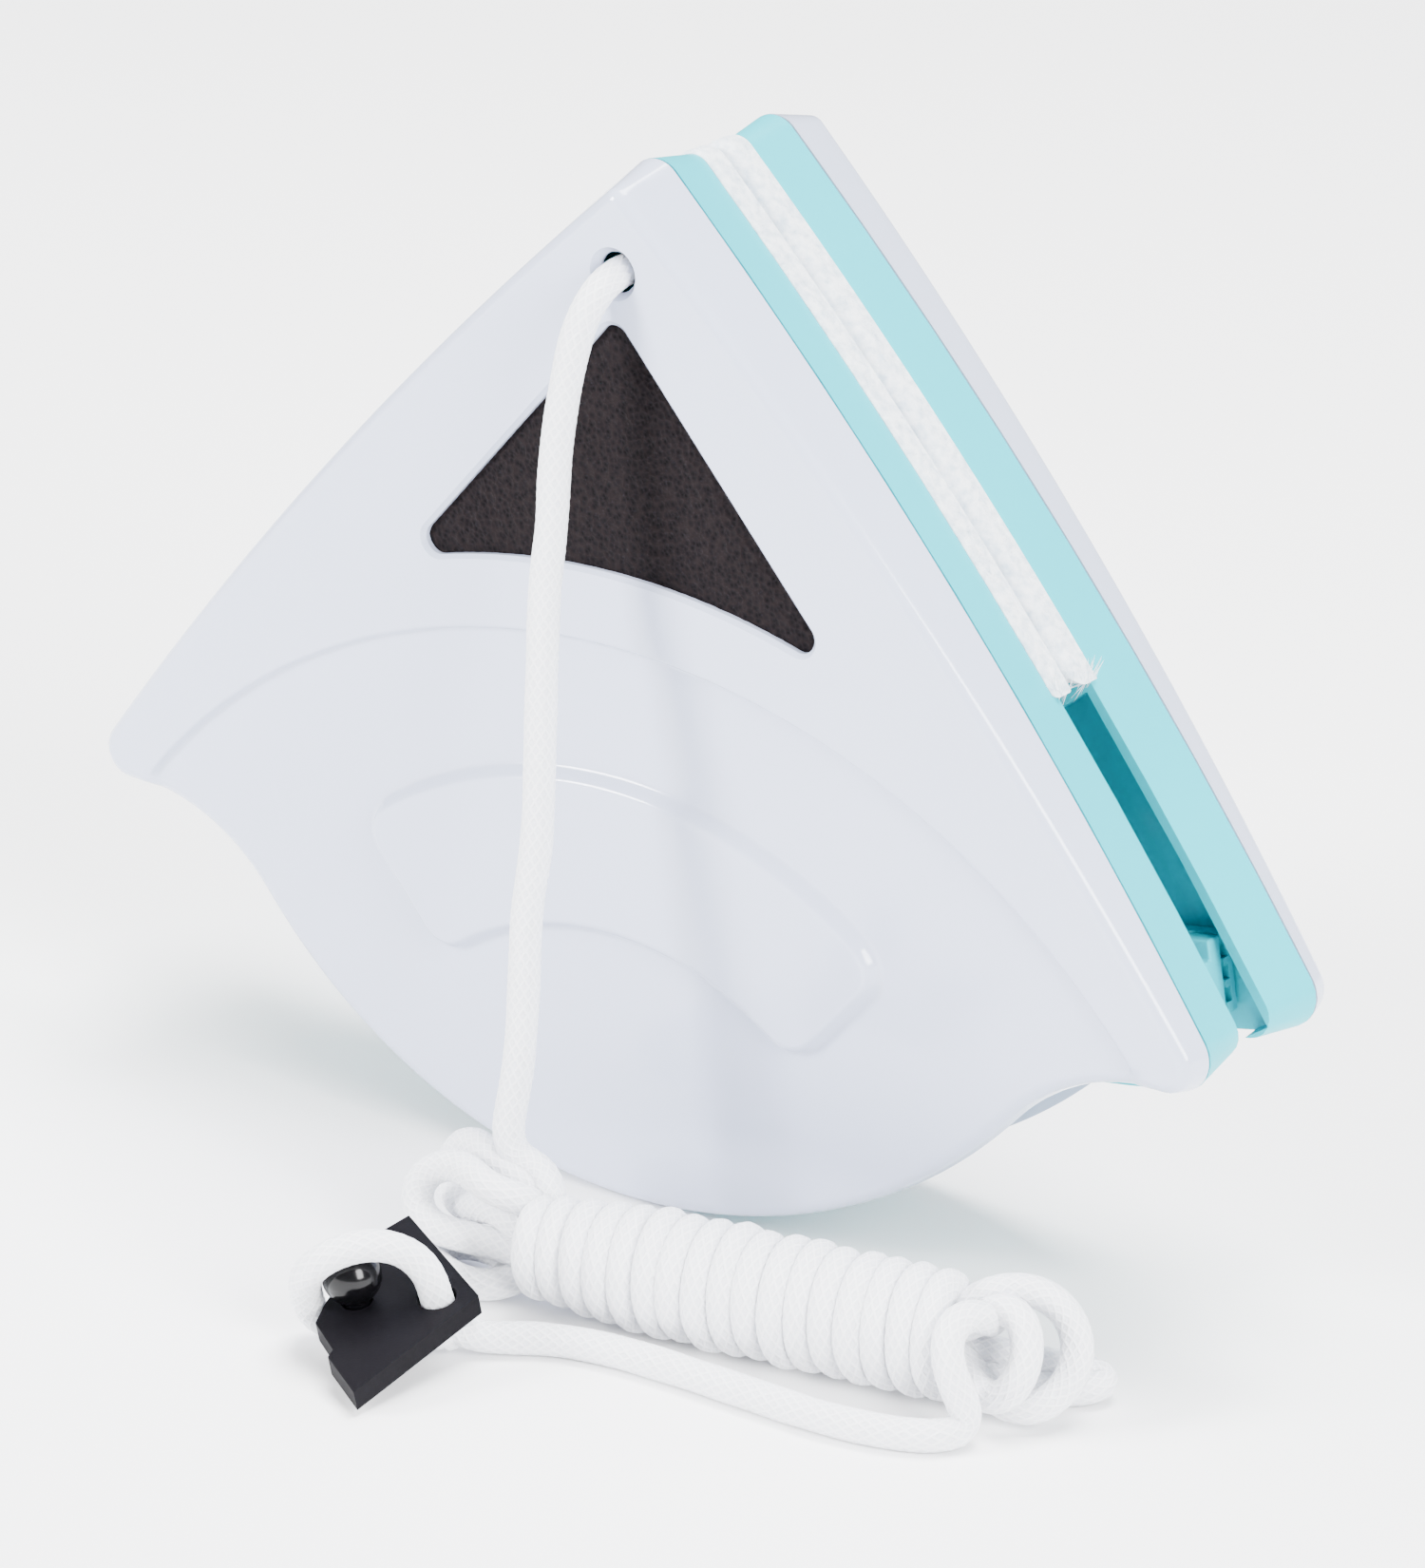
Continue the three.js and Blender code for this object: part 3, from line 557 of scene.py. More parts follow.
class Graph:
    """Node tree of one material, with short calls for what the finishes share."""

    def __init__(self, name: str) -> None:
        """Makes the material and its shader.

        Args:
            name: name of the material.
        """
        self.material = bpy.data.materials.new(name)
        self.material.use_nodes = True
        self.tree = self.material.node_tree
        self.shader = self.tree.nodes["Principled BSDF"]
        self.place = self.add("ShaderNodeTexCoord")

    def add(self, kind: str, **settings: object) -> bpy.types.Node:
        """Adds a node and sets its properties.

        Args:
            kind: type of the node.
            **settings: its properties by name.

        Returns:
            The node.
        """
        node = self.tree.nodes.new(kind)
        for key, value in settings.items():
            setattr(node, key, value)
        return node

    def link(self, output: bpy.types.NodeSocket, target: bpy.types.NodeSocket) -> None:
        """Links an output to an input."""
        self.tree.links.new(output, target)

    def set(self, **values: object) -> None:
        """Sets the shader's own sockets by name, with _ for a space."""
        for key, value in values.items():
            self.shader.inputs[key.replace("_", " ")].default_value = value

    def noise(
        self, scale: float, detail: float, stretch: Sequence[float] = (1, 1, 1)
    ) -> bpy.types.NodeSocket:
        """Noise over the piece.

        Args:
            scale: waves in a metre.
            detail: how many finer layers it has.
            stretch: scale along each axis.

        Returns:
            The noise's value.
        """
        mapping = self.add("ShaderNodeMapping")
        mapping.inputs["Scale"].default_value = stretch
        self.link(self.place.outputs["Object"], mapping.inputs["Vector"])
        node = self.add("ShaderNodeTexNoise")
        node.inputs["Scale"].default_value = scale
        node.inputs["Detail"].default_value = detail
        self.link(mapping.outputs["Vector"], node.inputs["Vector"])
        return node.outputs["Fac"]

    def cells(self, scale: float) -> bpy.types.NodeSocket:
        """Distance inside a pattern of cells.

        Args:
            scale: cells in a metre.

        Returns:
            The distance to the nearest cell's middle.
        """
        node = self.add("ShaderNodeTexVoronoi", feature="F1")
        node.inputs["Scale"].default_value = scale
        self.link(self.place.outputs["Object"], node.inputs["Vector"])
        return node.outputs["Distance"]

    def compute(self, operation: str, *values: bpy.types.NodeSocket | float) -> bpy.types.NodeSocket:
        """Computes with values and outputs.

        Args:
            operation: the math node's operation.
            *values: its inputs in order.

        Returns:
            The result.
        """
        node = self.add("ShaderNodeMath", operation=operation)
        for value, socket in zip(values, node.inputs):
            if isinstance(value, bpy.types.NodeSocket):
                self.link(value, socket)
            else:
                socket.default_value = value
        return node.outputs["Value"]

    def blend(
        self, value: bpy.types.NodeSocket, stops: Sequence[tuple[float, Sequence[float]]]
    ) -> bpy.types.NodeSocket:
        """Colours that follow a value.

        Args:
            value: value that they follow.
            stops: places from 0 to 1, each with its colour.

        Returns:
            The colour.
        """
        ramp = self.add("ShaderNodeValToRGB")
        while len(ramp.color_ramp.elements) < len(stops):
            ramp.color_ramp.elements.new(0.5)
        for element, (place, colour) in zip(ramp.color_ramp.elements, stops):
            element.position = place
            element.color = (*colour, 1)
        self.link(value, ramp.inputs["Fac"])
        return ramp.outputs["Color"]

    def tint(self, value: bpy.types.NodeSocket, stops: Sequence[tuple[float, Sequence[float]]]) -> None:
        """Gives the shader colours that follow a value."""
        self.link(self.blend(value, stops), self.shader.inputs["Base Color"])

    def span(self, value: bpy.types.NodeSocket, low: float, high: float) -> bpy.types.NodeSocket:
        """Value carried from 0..1 to low..high.

        Args:
            value: the value.
            low: where 0 goes.
            high: where 1 goes.

        Returns:
            The carried value.
        """
        node = self.add("ShaderNodeMapRange")
        node.inputs["To Min"].default_value = low
        node.inputs["To Max"].default_value = high
        self.link(value, node.inputs["Value"])
        return node.outputs["Result"]

    def bump(self, layers: Sequence[tuple[bpy.types.NodeSocket, float, float]]) -> None:
        """Lays bumps over each other, each a value, a strength and a height in metres.

        Args:
            layers: the bumps, the lowest first.
        """
        last = None
        for value, strength, height in layers:
            node = self.add("ShaderNodeBump")
            node.inputs["Strength"].default_value = strength
            node.inputs["Distance"].default_value = height
            self.link(value, node.inputs["Height"])
            if last is not None:
                self.link(last, node.inputs["Normal"])
            last = node.outputs["Normal"]
        self.link(last, self.shader.inputs["Normal"])


@dataclass(frozen=True)
class MouldedPlastic:
    """Moulded plastic: faint flow marks, a little haze and a fine grain."""

    name: str
    colour: tuple[float, float, float]
    shade: tuple[float, float, float]
    roughness: tuple[float, float]
    coat: float = 0.0
    grain: float = 0.0
    glow: float = 0.0
    shine: float = 0.5
    flow_scale: float = 26
    haze_scale: float = 240
    wave_scale: float = 9
    grain_scale: float = 3600

    def make(self) -> bpy.types.Material:
        """Builds the material.

        Returns:
            The material.
        """
        graph = Graph(self.name)
        flow = graph.noise(self.flow_scale, 5, (1, 1, 0.4))
        graph.tint(flow, [(0.35, self.shade), (0.65, self.colour)])
        haze = graph.span(graph.noise(self.haze_scale, 6), *self.roughness)
        graph.link(haze, graph.shader.inputs["Roughness"])
        layers = [(graph.noise(self.wave_scale, 2), 0.25, 0.00012)]
        if self.grain:
            layers.append((graph.noise(self.grain_scale, 3), self.grain, 0.00003))
        graph.bump(layers)
        graph.set(IOR=1.49, Coat_Weight=self.coat, Coat_Roughness=0.08, Specular_IOR_Level=self.shine)
        if self.glow:
            graph.set(Subsurface_Weight=self.glow, Subsurface_Radius=(0.8, 1.0, 1.0), Subsurface_Scale=0.002)
        return graph.material


@dataclass(frozen=True)
class OpenFoam:
    """Open-cell foam: pores of two sizes, with painted shade deep in the pores and painted light on the
    walls between them.
    """

    name: str = "charcoal_foam"
    pore_shade: tuple[float, float, float] = (0.0008, 0.0006, 0.0008)
    wall: tuple[float, float, float] = (0.0045, 0.0034, 0.0044)
    lit_wall: tuple[float, float, float] = (0.0085, 0.006, 0.0066)
    fine_scale: float = 1500
    coarse_scale: float = 620

    def make(self) -> bpy.types.Material:
        """Builds the material.

        Returns:
            The material.
        """
        graph = Graph(self.name)
        pores = graph.cells(self.fine_scale)
        # Painted shade at the pores' middles, painted light on the walls between them.
        graph.tint(pores, [(0.05, self.pore_shade), (0.32, self.wall), (0.75, self.lit_wall)])
        graph.bump([(graph.cells(self.coarse_scale), 0.7, 0.0005), (pores, 0.9, 0.0003)])
        graph.set(Roughness=0.95, Specular_IOR_Level=0.1)
        return graph.material


@dataclass(frozen=True)
class Pile:
    """White fibre: soft and matt, with painted bluish shade in the hollows between its tufts."""

    name: str = "white_fleece"
    colour: tuple[float, float, float] = (0.86, 0.9, 0.95)
    root_shade: tuple[float, float, float] = (0.5, 0.6, 0.7)
    tuft_scale: float = 900
    fuzz_scale: float = 4200

    def make(self) -> bpy.types.Material:
        """Builds the material.

        Returns:
            The material.
        """
        graph = Graph(self.name)
        tufts = graph.noise(self.tuft_scale, 6)
        # Painted shade: the hollows that the bump sinks get the darker bluish colour.
        graph.tint(tufts, [(0.3, self.root_shade), (0.6, self.colour)])
        graph.bump([(tufts, 0.35, 0.0003), (graph.noise(self.fuzz_scale, 3), 0.4, 0.0001)])
        graph.set(Roughness=0.95, Sheen_Weight=0.4, Sheen_Roughness=0.5, Subsurface_Weight=0.3,
                  Subsurface_Radius=(1, 1, 1), Subsurface_Scale=0.002, Specular_IOR_Level=0.15)
        return graph.material


@dataclass(frozen=True)
class BraidedYarn:
    """Braided cord: yarns that cross on its own length and round it, with painted shade in the grooves
    between them.
    """

    name: str = "braided_cord"
    colour: tuple[float, float, float] = (0.88, 0.89, 0.93)
    groove_shade: tuple[float, float, float] = (0.76, 0.775, 0.825)
    yarns: float = 11
    turns: float = 620
    fuzz_scale: float = 5200

    def wave(self, graph: Graph, lean: float) -> bpy.types.NodeSocket:
        """Ridges of the yarns that lean one way.

        Args:
            graph: the material's tree.
            lean: 1 or -1, the way they lean.

        Returns:
            A value from 0 to 1 across the ridges.
        """
        split = graph.add("ShaderNodeSeparateXYZ")
        graph.link(graph.place.outputs["UV"], split.inputs["Vector"])
        across = graph.compute("MULTIPLY", split.outputs["X"], TURN * self.yarns)
        along = graph.compute("MULTIPLY_ADD", split.outputs["Y"], lean * TURN * self.turns, across)
        return graph.span(graph.compute("SINE", along), 0, 1)

    def make(self) -> bpy.types.Material:
        """Builds the material.

        Returns:
            The material.
        """
        graph = Graph(self.name)
        braid = graph.compute("MAXIMUM", self.wave(graph, 1), self.wave(graph, -1))
        # Painted shade: the grooves between the yarns get the darker colour.
        graph.tint(braid, [(0.25, self.groove_shade), (0.7, self.colour)])
        fuzz = graph.noise(self.fuzz_scale, 3)
        graph.bump([(braid, 0.7, 0.00018), (fuzz, 0.6, 0.00012)])
        graph.set(Roughness=0.9, Sheen_Weight=0.25, Sheen_Roughness=0.5, Subsurface_Weight=0.25,
                  Subsurface_Radius=(1, 1, 1), Subsurface_Scale=0.0015, Specular_IOR_Level=0.2)
        return graph.material


@dataclass(frozen=True)
class ClearRubber:
    """Bluish rubber that lets some light through."""

    name: str = "clear_rubber"
    colour: tuple[float, float, float] = (0.66, 0.82, 0.9)
    thin: tuple[float, float, float] = (0.82, 0.92, 0.97)
    flow_scale: float = 300

    def make(self) -> bpy.types.Material:
        """Builds the material.

        Returns:
            The material.
        """
        graph = Graph(self.name)
        flow = graph.noise(self.flow_scale, 3, (0.15, 1, 1))
        graph.tint(flow, [(0.3, self.colour), (0.7, self.thin)])
        graph.bump([(flow, 0.3, 0.0001)])
        graph.set(Roughness=0.32, IOR=1.45, Transmission_Weight=0.08, Subsurface_Weight=0.4,
                  Subsurface_Radius=(1, 1, 1), Subsurface_Scale=0.002)
        return graph.material


@dataclass(frozen=True)
class PlatedMetal:
    """Plated metal with fine marks along X."""

    name: str
    colour: tuple[float, float, float]
    roughness: tuple[float, float]
    mark_scale: float = 900

    def make(self) -> bpy.types.Material:
        """Builds the material.

        Returns:
            The material.
        """
        graph = Graph(self.name)
        marks = graph.noise(self.mark_scale, 4, (0.05, 1, 1))
        dark = tuple(0.82 * c for c in self.colour)
        graph.tint(marks, [(0.3, dark), (0.7, self.colour)])
        graph.link(graph.span(marks, *self.roughness), graph.shader.inputs["Roughness"])
        graph.bump([(marks, 0.25, 0.00002)])
        graph.set(Metallic=1.0)
        return graph.material


class Finish(Enum):
    """Every finish of the cleaner, with the record's slot that it belongs to."""

    SHELL = "white_shell"
    CYAN = "cyan_plastic"
    FOAM = "foam"
    FLEECE = "fleece"
    RUBBER = "clear_rubber"
    MAGNET = "magnet"
    YOKE = "yoke_steel"
    SCREW = "screw_steel"
    CORD = "white_cord"
    BLACK = "black_plastic"
    BLACK_GLOSS = "black_gloss"

    @property
    def slot(self) -> str:
        """Material slot in the record."""
        return "black_plastic" if self is Finish.BLACK_GLOSS else self.value


FINISHES: dict[Finish, object] = {
    Finish.SHELL: MouldedPlastic("glossy_white", (0.47, 0.515, 0.66), (0.457, 0.502, 0.645), (0.14, 0.22),
                                 coat=0.5, glow=0.05),
    Finish.CYAN: MouldedPlastic("satin_cyan", (0.0006, 0.42, 0.5), (0.0006, 0.395, 0.47), (0.34, 0.46),
                                grain=0.15, shine=0.22),
    Finish.FOAM: OpenFoam(),
    Finish.FLEECE: Pile(),
    Finish.RUBBER: ClearRubber(),
    Finish.MAGNET: PlatedMetal("nickel_plate", (0.6, 0.61, 0.63), (0.2, 0.35)),
    Finish.YOKE: PlatedMetal("zinc_plate", (0.62, 0.63, 0.65), (0.35, 0.55)),
    Finish.SCREW: PlatedMetal("screw_plate", (0.66, 0.67, 0.7), (0.25, 0.4)),
    Finish.CORD: BraidedYarn(),
    Finish.BLACK: MouldedPlastic("black_satin", (0.004, 0.0036, 0.005), (0.003, 0.0027, 0.0038), (0.5, 0.64),
                                 grain=0.5, shine=0.05),
    Finish.BLACK_GLOSS: MouldedPlastic("black_polished", (0.002, 0.002, 0.0025), (0.0015, 0.0015, 0.002),
                                       (0.12, 0.22), shine=0.3),
}
MADE: dict[Finish, bpy.types.Material] = {}


def material_of(finish: Finish) -> bpy.types.Material:
    """Material of a finish, made once and shared.

    Args:
        finish: the finish.

    Returns:
        Its material.
    """
    if finish not in MADE:
        MADE[finish] = FINISHES[finish].make()
    return MADE[finish]


def dress(piece: bpy.types.Object, finish: Finish) -> None:
    """Gives a piece its finish.

    Args:
        piece: the piece, or a CAD node.
        finish: its finish.
    """
    piece.data.materials.clear()
    piece.data.materials.append(material_of(finish))


def settle(piece: bpy.types.Object, body: str, finish: Finish, *nodes: str) -> bpy.types.Object:
    """Dresses a finished piece, lets it ride and hides the CAD nodes it stands for.

    Args:
        piece: the piece.
        body: body that it rides on.
        finish: its finish.
        nodes: CAD nodes that it replaces.

    Returns:
        The piece.
    """
    dress(piece, finish)
    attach(piece, body)
    if nodes:
        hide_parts(*nodes)
    LOG.info("%s: %d faces, rides on %s", piece.name, len(piece.data.polygons), body)
    return piece


# ---------- the cover ----------


@dataclass(frozen=True)
class Cover:
    """White cover: drafted rim, smooth upper face, recessed fan, grip pad and window."""

    draft: float = 0.24
    wall: float = 0.0015
    edge_radius: float = 0.0016
    crown: float = 0.0006
    fan_step: float = 0.0011
    fan_level: float = 0.03
    fan_blend: float = 0.008
    step_centre: float = -0.0187
    step_radius: float = 0.0861
    step_width: float = 0.0011
    pad_centre: float = -0.004
    pad_outer: float = 0.0551
    pad_inner: float = 0.0368
    pad_half_angle: float = 0.716
    pad_rise: float = 0.0016
    pad_fillet: float = 0.0018
    pad_corner: float = 0.0042
    window_drop: float = 0.016
    window_border: float = 0.01981
    window_corner: float = 0.0736
    window_radius: float = 0.0018
    window_arc_centre: float = -0.0132
    window_arc_radius: float = 0.0893
    lip: float = 0.0005
    hole_drop: float = 0.0111
    hole_radius: float = 0.0023
    hole_lip: float = 0.0011
    pitch: float = 0.0017
    inset_step: float = 0.0004
    inset_end: float = 0.0081
    step_shares: tuple[float, ...] = (-0.6, -0.36, -0.18, 0, 0.18, 0.36, 0.6)
    pad_shares: tuple[float, ...] = (-0.6, -0.4, -0.22, 0, 0.22, 0.4, 0.6)
    lip_shares: tuple[float, ...] = (0.3, 0.65, 1, 1.6)

    def window(self, inset: float, steps: int = 34) -> Outline:
        """Outline of the window, drawn in by inset.

        Args:
            inset: how far it is drawn in.
            steps: points along each straight side.

        Returns:
            The outline.
        """
        top = np.array([0.0, SHIELD.apex_top - self.window_drop])
        foot = np.array([SHIELD.side_at(self.window_corner) - self.window_border, self.window_corner])
        side = (foot - top) / np.hypot(*(foot - top))
        inward = np.array([side[1], -side[0]])
        centre = np.array([0.0, self.window_arc_centre])
        tip = np.array([0.0, top[1] - self.window_radius / side[0]])
        start = top + inward * self.window_radius - centre
        along = float(start @ side)
        reach = self.window_arc_radius + self.window_radius
        heel = start + side * (-along - math.sqrt(along**2 - float(start @ start) + reach**2)) + centre
        radius = self.window_radius - inset
        turn = math.atan2(-inward[1], -inward[0])
        low_radius = self.window_arc_radius + inset
        top_side, low_side = tip - inward * radius, heel - inward * radius
        shares = np.arange(1, steps)[:, None] / steps
        right = np.concatenate([
            arc(tip, radius, QUARTER, turn, 6),
            [top_side], top_side + (low_side - top_side) * shares,
            arc(heel, radius, turn, bearing(heel, centre), 14),
            arc(centre, low_radius, bearing(centre, heel), QUARTER, 26, clockwise=False),
            [[0.0, self.window_arc_centre + low_radius]],
        ])
        return mirrored(right)

    def hole(self, grow: float) -> Outline:
        """Circle round the cord hole."""
        centre = np.array([0.0, SHIELD.apex_top - self.hole_drop])
        return arc(centre, self.hole_radius + grow, 2 * math.pi, 0, 40)

    def pad_distance(self, points: np.ndarray) -> np.ndarray:
        """Distance outside the grip pad's outline, negative inside it.

        Args:
            points: points as x and z.

        Returns:
            One distance for each point.
        """
        middle = (self.pad_outer + self.pad_inner) / 2
        way = points - np.array([0.0, self.pad_centre])
        across = np.hypot(*way.T) - middle
        along = np.arctan2(way[:, 0], way[:, 1]) * middle
        half = np.array([self.pad_half_angle * middle, (self.pad_outer - self.pad_inner) / 2])
        half = half - self.pad_corner
        over = np.abs(np.stack([along, across], 1)) - half
        outside = np.hypot(*np.maximum(over, 0).T)
        return outside + np.minimum(over.max(1), 0) - self.pad_corner

    def pad_line(self, grow: float) -> Outline:
        """Contour of the grip pad at a distance outside its outline.

        Args:
            grow: distance outside the outline.

        Returns:
            The contour.
        """
        middle = (self.pad_outer + self.pad_inner) / 2
        long_half = self.pad_half_angle * middle - self.pad_corner
        short_half = (self.pad_outer - self.pad_inner) / 2 - self.pad_corner
        radius = self.pad_corner + grow
        parts = []
        for turn, (sx, sy) in enumerate([(1, 1), (1, -1), (-1, -1), (-1, 1)]):
            centre = np.array([sx * long_half, sy * short_half])
            start = QUARTER * (1 - turn)
            parts.append(arc(centre, radius, start, start - QUARTER, 10))
        outline = np.concatenate(parts)
        dense = []
        for a, b in zip(outline, np.roll(outline, -1, 0)):
            steps = max(1, int(np.hypot(*(b - a)) / 0.0012))
            dense.append(a + (b - a) * np.arange(steps)[:, None] / steps)
        along, across = np.concatenate(dense).T
        angle = along / middle
        reach = across + middle
        return np.stack([reach * np.sin(angle), self.pad_centre + reach * np.cos(angle)], 1)

    def height(self, points: np.ndarray) -> np.ndarray:
        """Height of the outer face over the glass plane.

        Args:
            points: points as x and z.

        Returns:
            One height for each point.
        """
        x, z = points.T
        upper = SHIELD.face_at(z)
        level = (z + self.fan_level + np.sqrt((z - self.fan_level) ** 2 + self.fan_blend**2)) / 2
        lower = SHIELD.face_at(level) - self.fan_step
        out = np.hypot(x, z - self.step_centre) - self.step_radius
        share = smooth(out / self.step_width + 0.5)
        fan = lower + self.pad_rise * smooth(0.5 - self.pad_distance(points) / self.pad_fillet)
        return fan * (1 - share) + upper * share - self.crown * (x / SHIELD.half_width) ** 2

    def lines(self, with_hole: bool) -> tuple[tuple[Outline, bool], ...]:
        """Contours that the face's edges follow.

        Args:
            with_hole: whether the cord hole has its own.

        Returns:
            The contours, each with whether it is closed.
        """
        centre = np.array([0.0, self.step_centre])
        found: list[tuple[Outline, bool]] = []
        for share in self.step_shares:
            radius = self.step_radius + share * self.step_width
            found.append((arc(centre, radius, math.pi - 0.4, 0.4, 150), False))
        for share in self.pad_shares:
            found.append((self.pad_line(share * self.pad_fillet), True))
        for share in self.lip_shares:
            found.append((self.window(-share * self.lip), True))
            if with_hole:
                found.append((self.hole(share * self.hole_lip), True))
        return tuple(found)

    def build(self, side: Side) -> bpy.types.Object:
        """Builds the cover of one half as one closed shell.

        Args:
            side: which half; only the front one has the cord hole.

        Returns:
            The piece.
        """
        with_hole = side is Side.FRONT
        insets = np.arange(0, self.inset_end, self.inset_step)
        drawn = np.array([SHIELD.cover(float(i)) for i in insets])

        def outline_at(inset: np.ndarray) -> Outline:
            """Cover's outline with an inset of its own for each point.

            Args:
                inset: one inset for each point.

            Returns:
                The outline.
            """
            place = np.clip(inset / self.inset_step, 0, len(insets) - 1.001)
            low = place.astype(int)
            share = (place - low)[:, None]
            each = np.arange(len(inset))
            return drawn[low, each] * (1 - share) + drawn[low + 1, each] * share

        lean = math.atan(self.draft)
        back = SHIELD.cover_back
        r = self.edge_radius
        centre_inset = np.full(drawn.shape[1], 0.003)
        for _ in range(4):
            top = self.height(outline_at(centre_inset))
            wall_top = top - r + r * math.sin(lean)
            centre_inset = self.draft * (wall_top - back) + r * math.cos(lean)
        border = outline_at(centre_inset)
        holes = [self.window(0)] + ([self.hole(0)] if with_hole else [])
        relief = Relief(border, tuple(holes), self.lines(with_hole), self.pitch)
        points, triangles = relief.build()
        outer = self.height(points)
        inner = outer - self.wall
        outer = outer - round_edge(distance_to(points, holes[0]), self.lip)
        if with_hole:
            outer = outer - round_edge(distance_to(points, holes[1]), self.hole_lip)
        body = Body()
        first = body.sheet(points, outer, triangles[:, ::-1])
        second = body.sheet(points, inner, triangles)
        for hole in holes:
            numbers = loop_numbers(points, hole)
            body.join(numbers + second, numbers + first)
        rings = []
        for share in np.linspace(0, 1, 5):
            y = back + (wall_top - back) * share
            rings.append(body.ring(outline_at(self.draft * (y - back)), y))
        for angle in np.linspace(lean, QUARTER, 9)[1:-1]:
            inset = centre_inset - r * math.cos(angle)
            rings.append(body.ring(outline_at(inset), top - r + r * math.sin(angle)))
        edge = loop_numbers(points, border)
        rings.append(edge + first)
        for low, high in zip(rings, rings[1:]):
            body.join(low, high, flip=True)
        rim = body.ring(SHIELD.cover(self.wall), back)
        body.join(rings[0], rim)
        body.join(rim, edge + second)
        piece = body.mesh(f"{side.value}_shell", side.turn)
        return settle(piece, side.body, Finish.SHELL, f"{side.value}_cover")


# ---------- cord, knots and clip ----------


def spline(points: np.ndarray, step: float, closed: bool = False) -> np.ndarray:
    """Smooth curve through points, resampled at even steps.

    Args:
        points: points that it passes through.
        step: spacing of the new points.
        closed: whether its end joins its start.

    Returns:
        The new points.
    """
    if closed:
        ends = np.concatenate([points[-1:], points, points[:2]])
    else:
        ends = np.concatenate([2 * points[:1] - points[1:2], points, 2 * points[-1:] - points[-2:-1]])
    parts = []
    share = np.linspace(0, 1, 24, endpoint=False)[:, None]
    for a, b, c, d in zip(ends, ends[1:], ends[2:], ends[3:]):
        first = np.linalg.norm(b - a) ** 0.5
        second = np.linalg.norm(c - b) ** 0.5
        third = np.linalg.norm(d - c) ** 0.5
        out = (c - b) + second * ((b - a) / first - (c - a) / (first + second))
        into = (c - b) + second * ((d - c) / third - (d - b) / (second + third))
        t2, t3 = share**2, share**3
        near = (2 * t3 - 3 * t2 + 1) * b + (t3 - 2 * t2 + share) * out
        parts.append(near + (3 * t2 - 2 * t3) * c + (t3 - t2) * into)
    fine = np.concatenate([*parts, ends[-2:-1]])
    reach = np.concatenate([[0], np.cumsum(np.linalg.norm(np.diff(fine, axis=0), axis=1))])
    even = np.linspace(0, reach[-1], max(8, round(reach[-1] / step)))
    return np.stack([np.interp(even, reach, fine[:, i]) for i in range(3)], 1)


@dataclass(frozen=True)
class Braid:
    """Tube of braided cord that follows a path, with its yarns' relief in the mesh."""

    radius: float
    step: float = 0.0005
    sides: int = 18
    relief: float = 0.028
    lay: float = 0.0024
    strands: int = 4
    unevenness: float = 0.02

    def tube(self, name: str, path: np.ndarray, closed: bool = False) -> bpy.types.Object:
        """Builds the tube.

        Args:
            name: name of the piece.
            path: evenly spaced points of its middle line.
            closed: whether the path's end joins its start.

        Returns:
            The piece, with a UV map whose Y runs along it in metres.
        """
        ahead = np.roll(path, -1, 0) - np.roll(path, 1, 0) if closed else np.gradient(path, axis=0)
        ahead = ahead / np.linalg.norm(ahead, axis=1)[:, None]
        across = np.zeros_like(path)
        start = np.cross(ahead[0], [0.3, 0.2, 1.0])
        across[0] = start / np.linalg.norm(start)
        for i in range(1, len(path)):
            carried = across[i - 1] - ahead[i] * float(across[i - 1] @ ahead[i])
            across[i] = carried / np.linalg.norm(carried)
        over = np.cross(ahead, across)
        reach = np.concatenate([[0], np.cumsum(np.linalg.norm(np.diff(path, axis=0), axis=1))])
        turn = np.arange(self.sides) / self.sides * 2 * math.pi
        phase = reach[:, None] / self.lay * 2 * math.pi
        weave = np.sin(self.strands * turn + phase) * np.sin(self.strands * turn - phase)
        soft = np.sin(reach[:, None] * 610) * np.sin(2 * turn + reach[:, None] * 170)
        radius = self.radius * (1 + self.relief * weave + self.unevenness * soft)
        if not closed:
            taper = np.minimum(np.minimum(reach, reach[-1] - reach) / (0.6 * self.radius), 1)
            radius = radius * np.sqrt(np.maximum(1 - (1 - taper) ** 2, 0.02))[:, None]
        rings = path[:, None] + radius[:, :, None] * (
            np.cos(turn)[None, :, None] * across[:, None] + np.sin(turn)[None, :, None] * over[:, None])
        count, sides = len(path), self.sides
        faces, places = [], []
        for i in range(count if closed else count - 1):
            k = (i + 1) % count
            for j in range(sides):
                m = (j + 1) % sides
                faces.append((i * sides + j, i * sides + m, k * sides + m, k * sides + j))
                low, high = j / sides, (j + 1) / sides
                far = reach[i] + self.step
                places += [(low, reach[i]), (high, reach[i]), (high, far), (low, far)]
        if not closed:
            faces.append(tuple(range(sides))[::-1])
            faces.append(tuple(range((count - 1) * sides, count * sides)))
            places += [(0.5, 0.0)] * (2 * sides)
        data = bpy.data.meshes.new(name)
        data.from_pydata(rings.reshape(-1, 3).tolist(), [], faces)
        data.shade_smooth()
        data.uv_layers.new(name="lay").data.foreach_set("uv", np.array(places).ravel())
        return show(name, data)


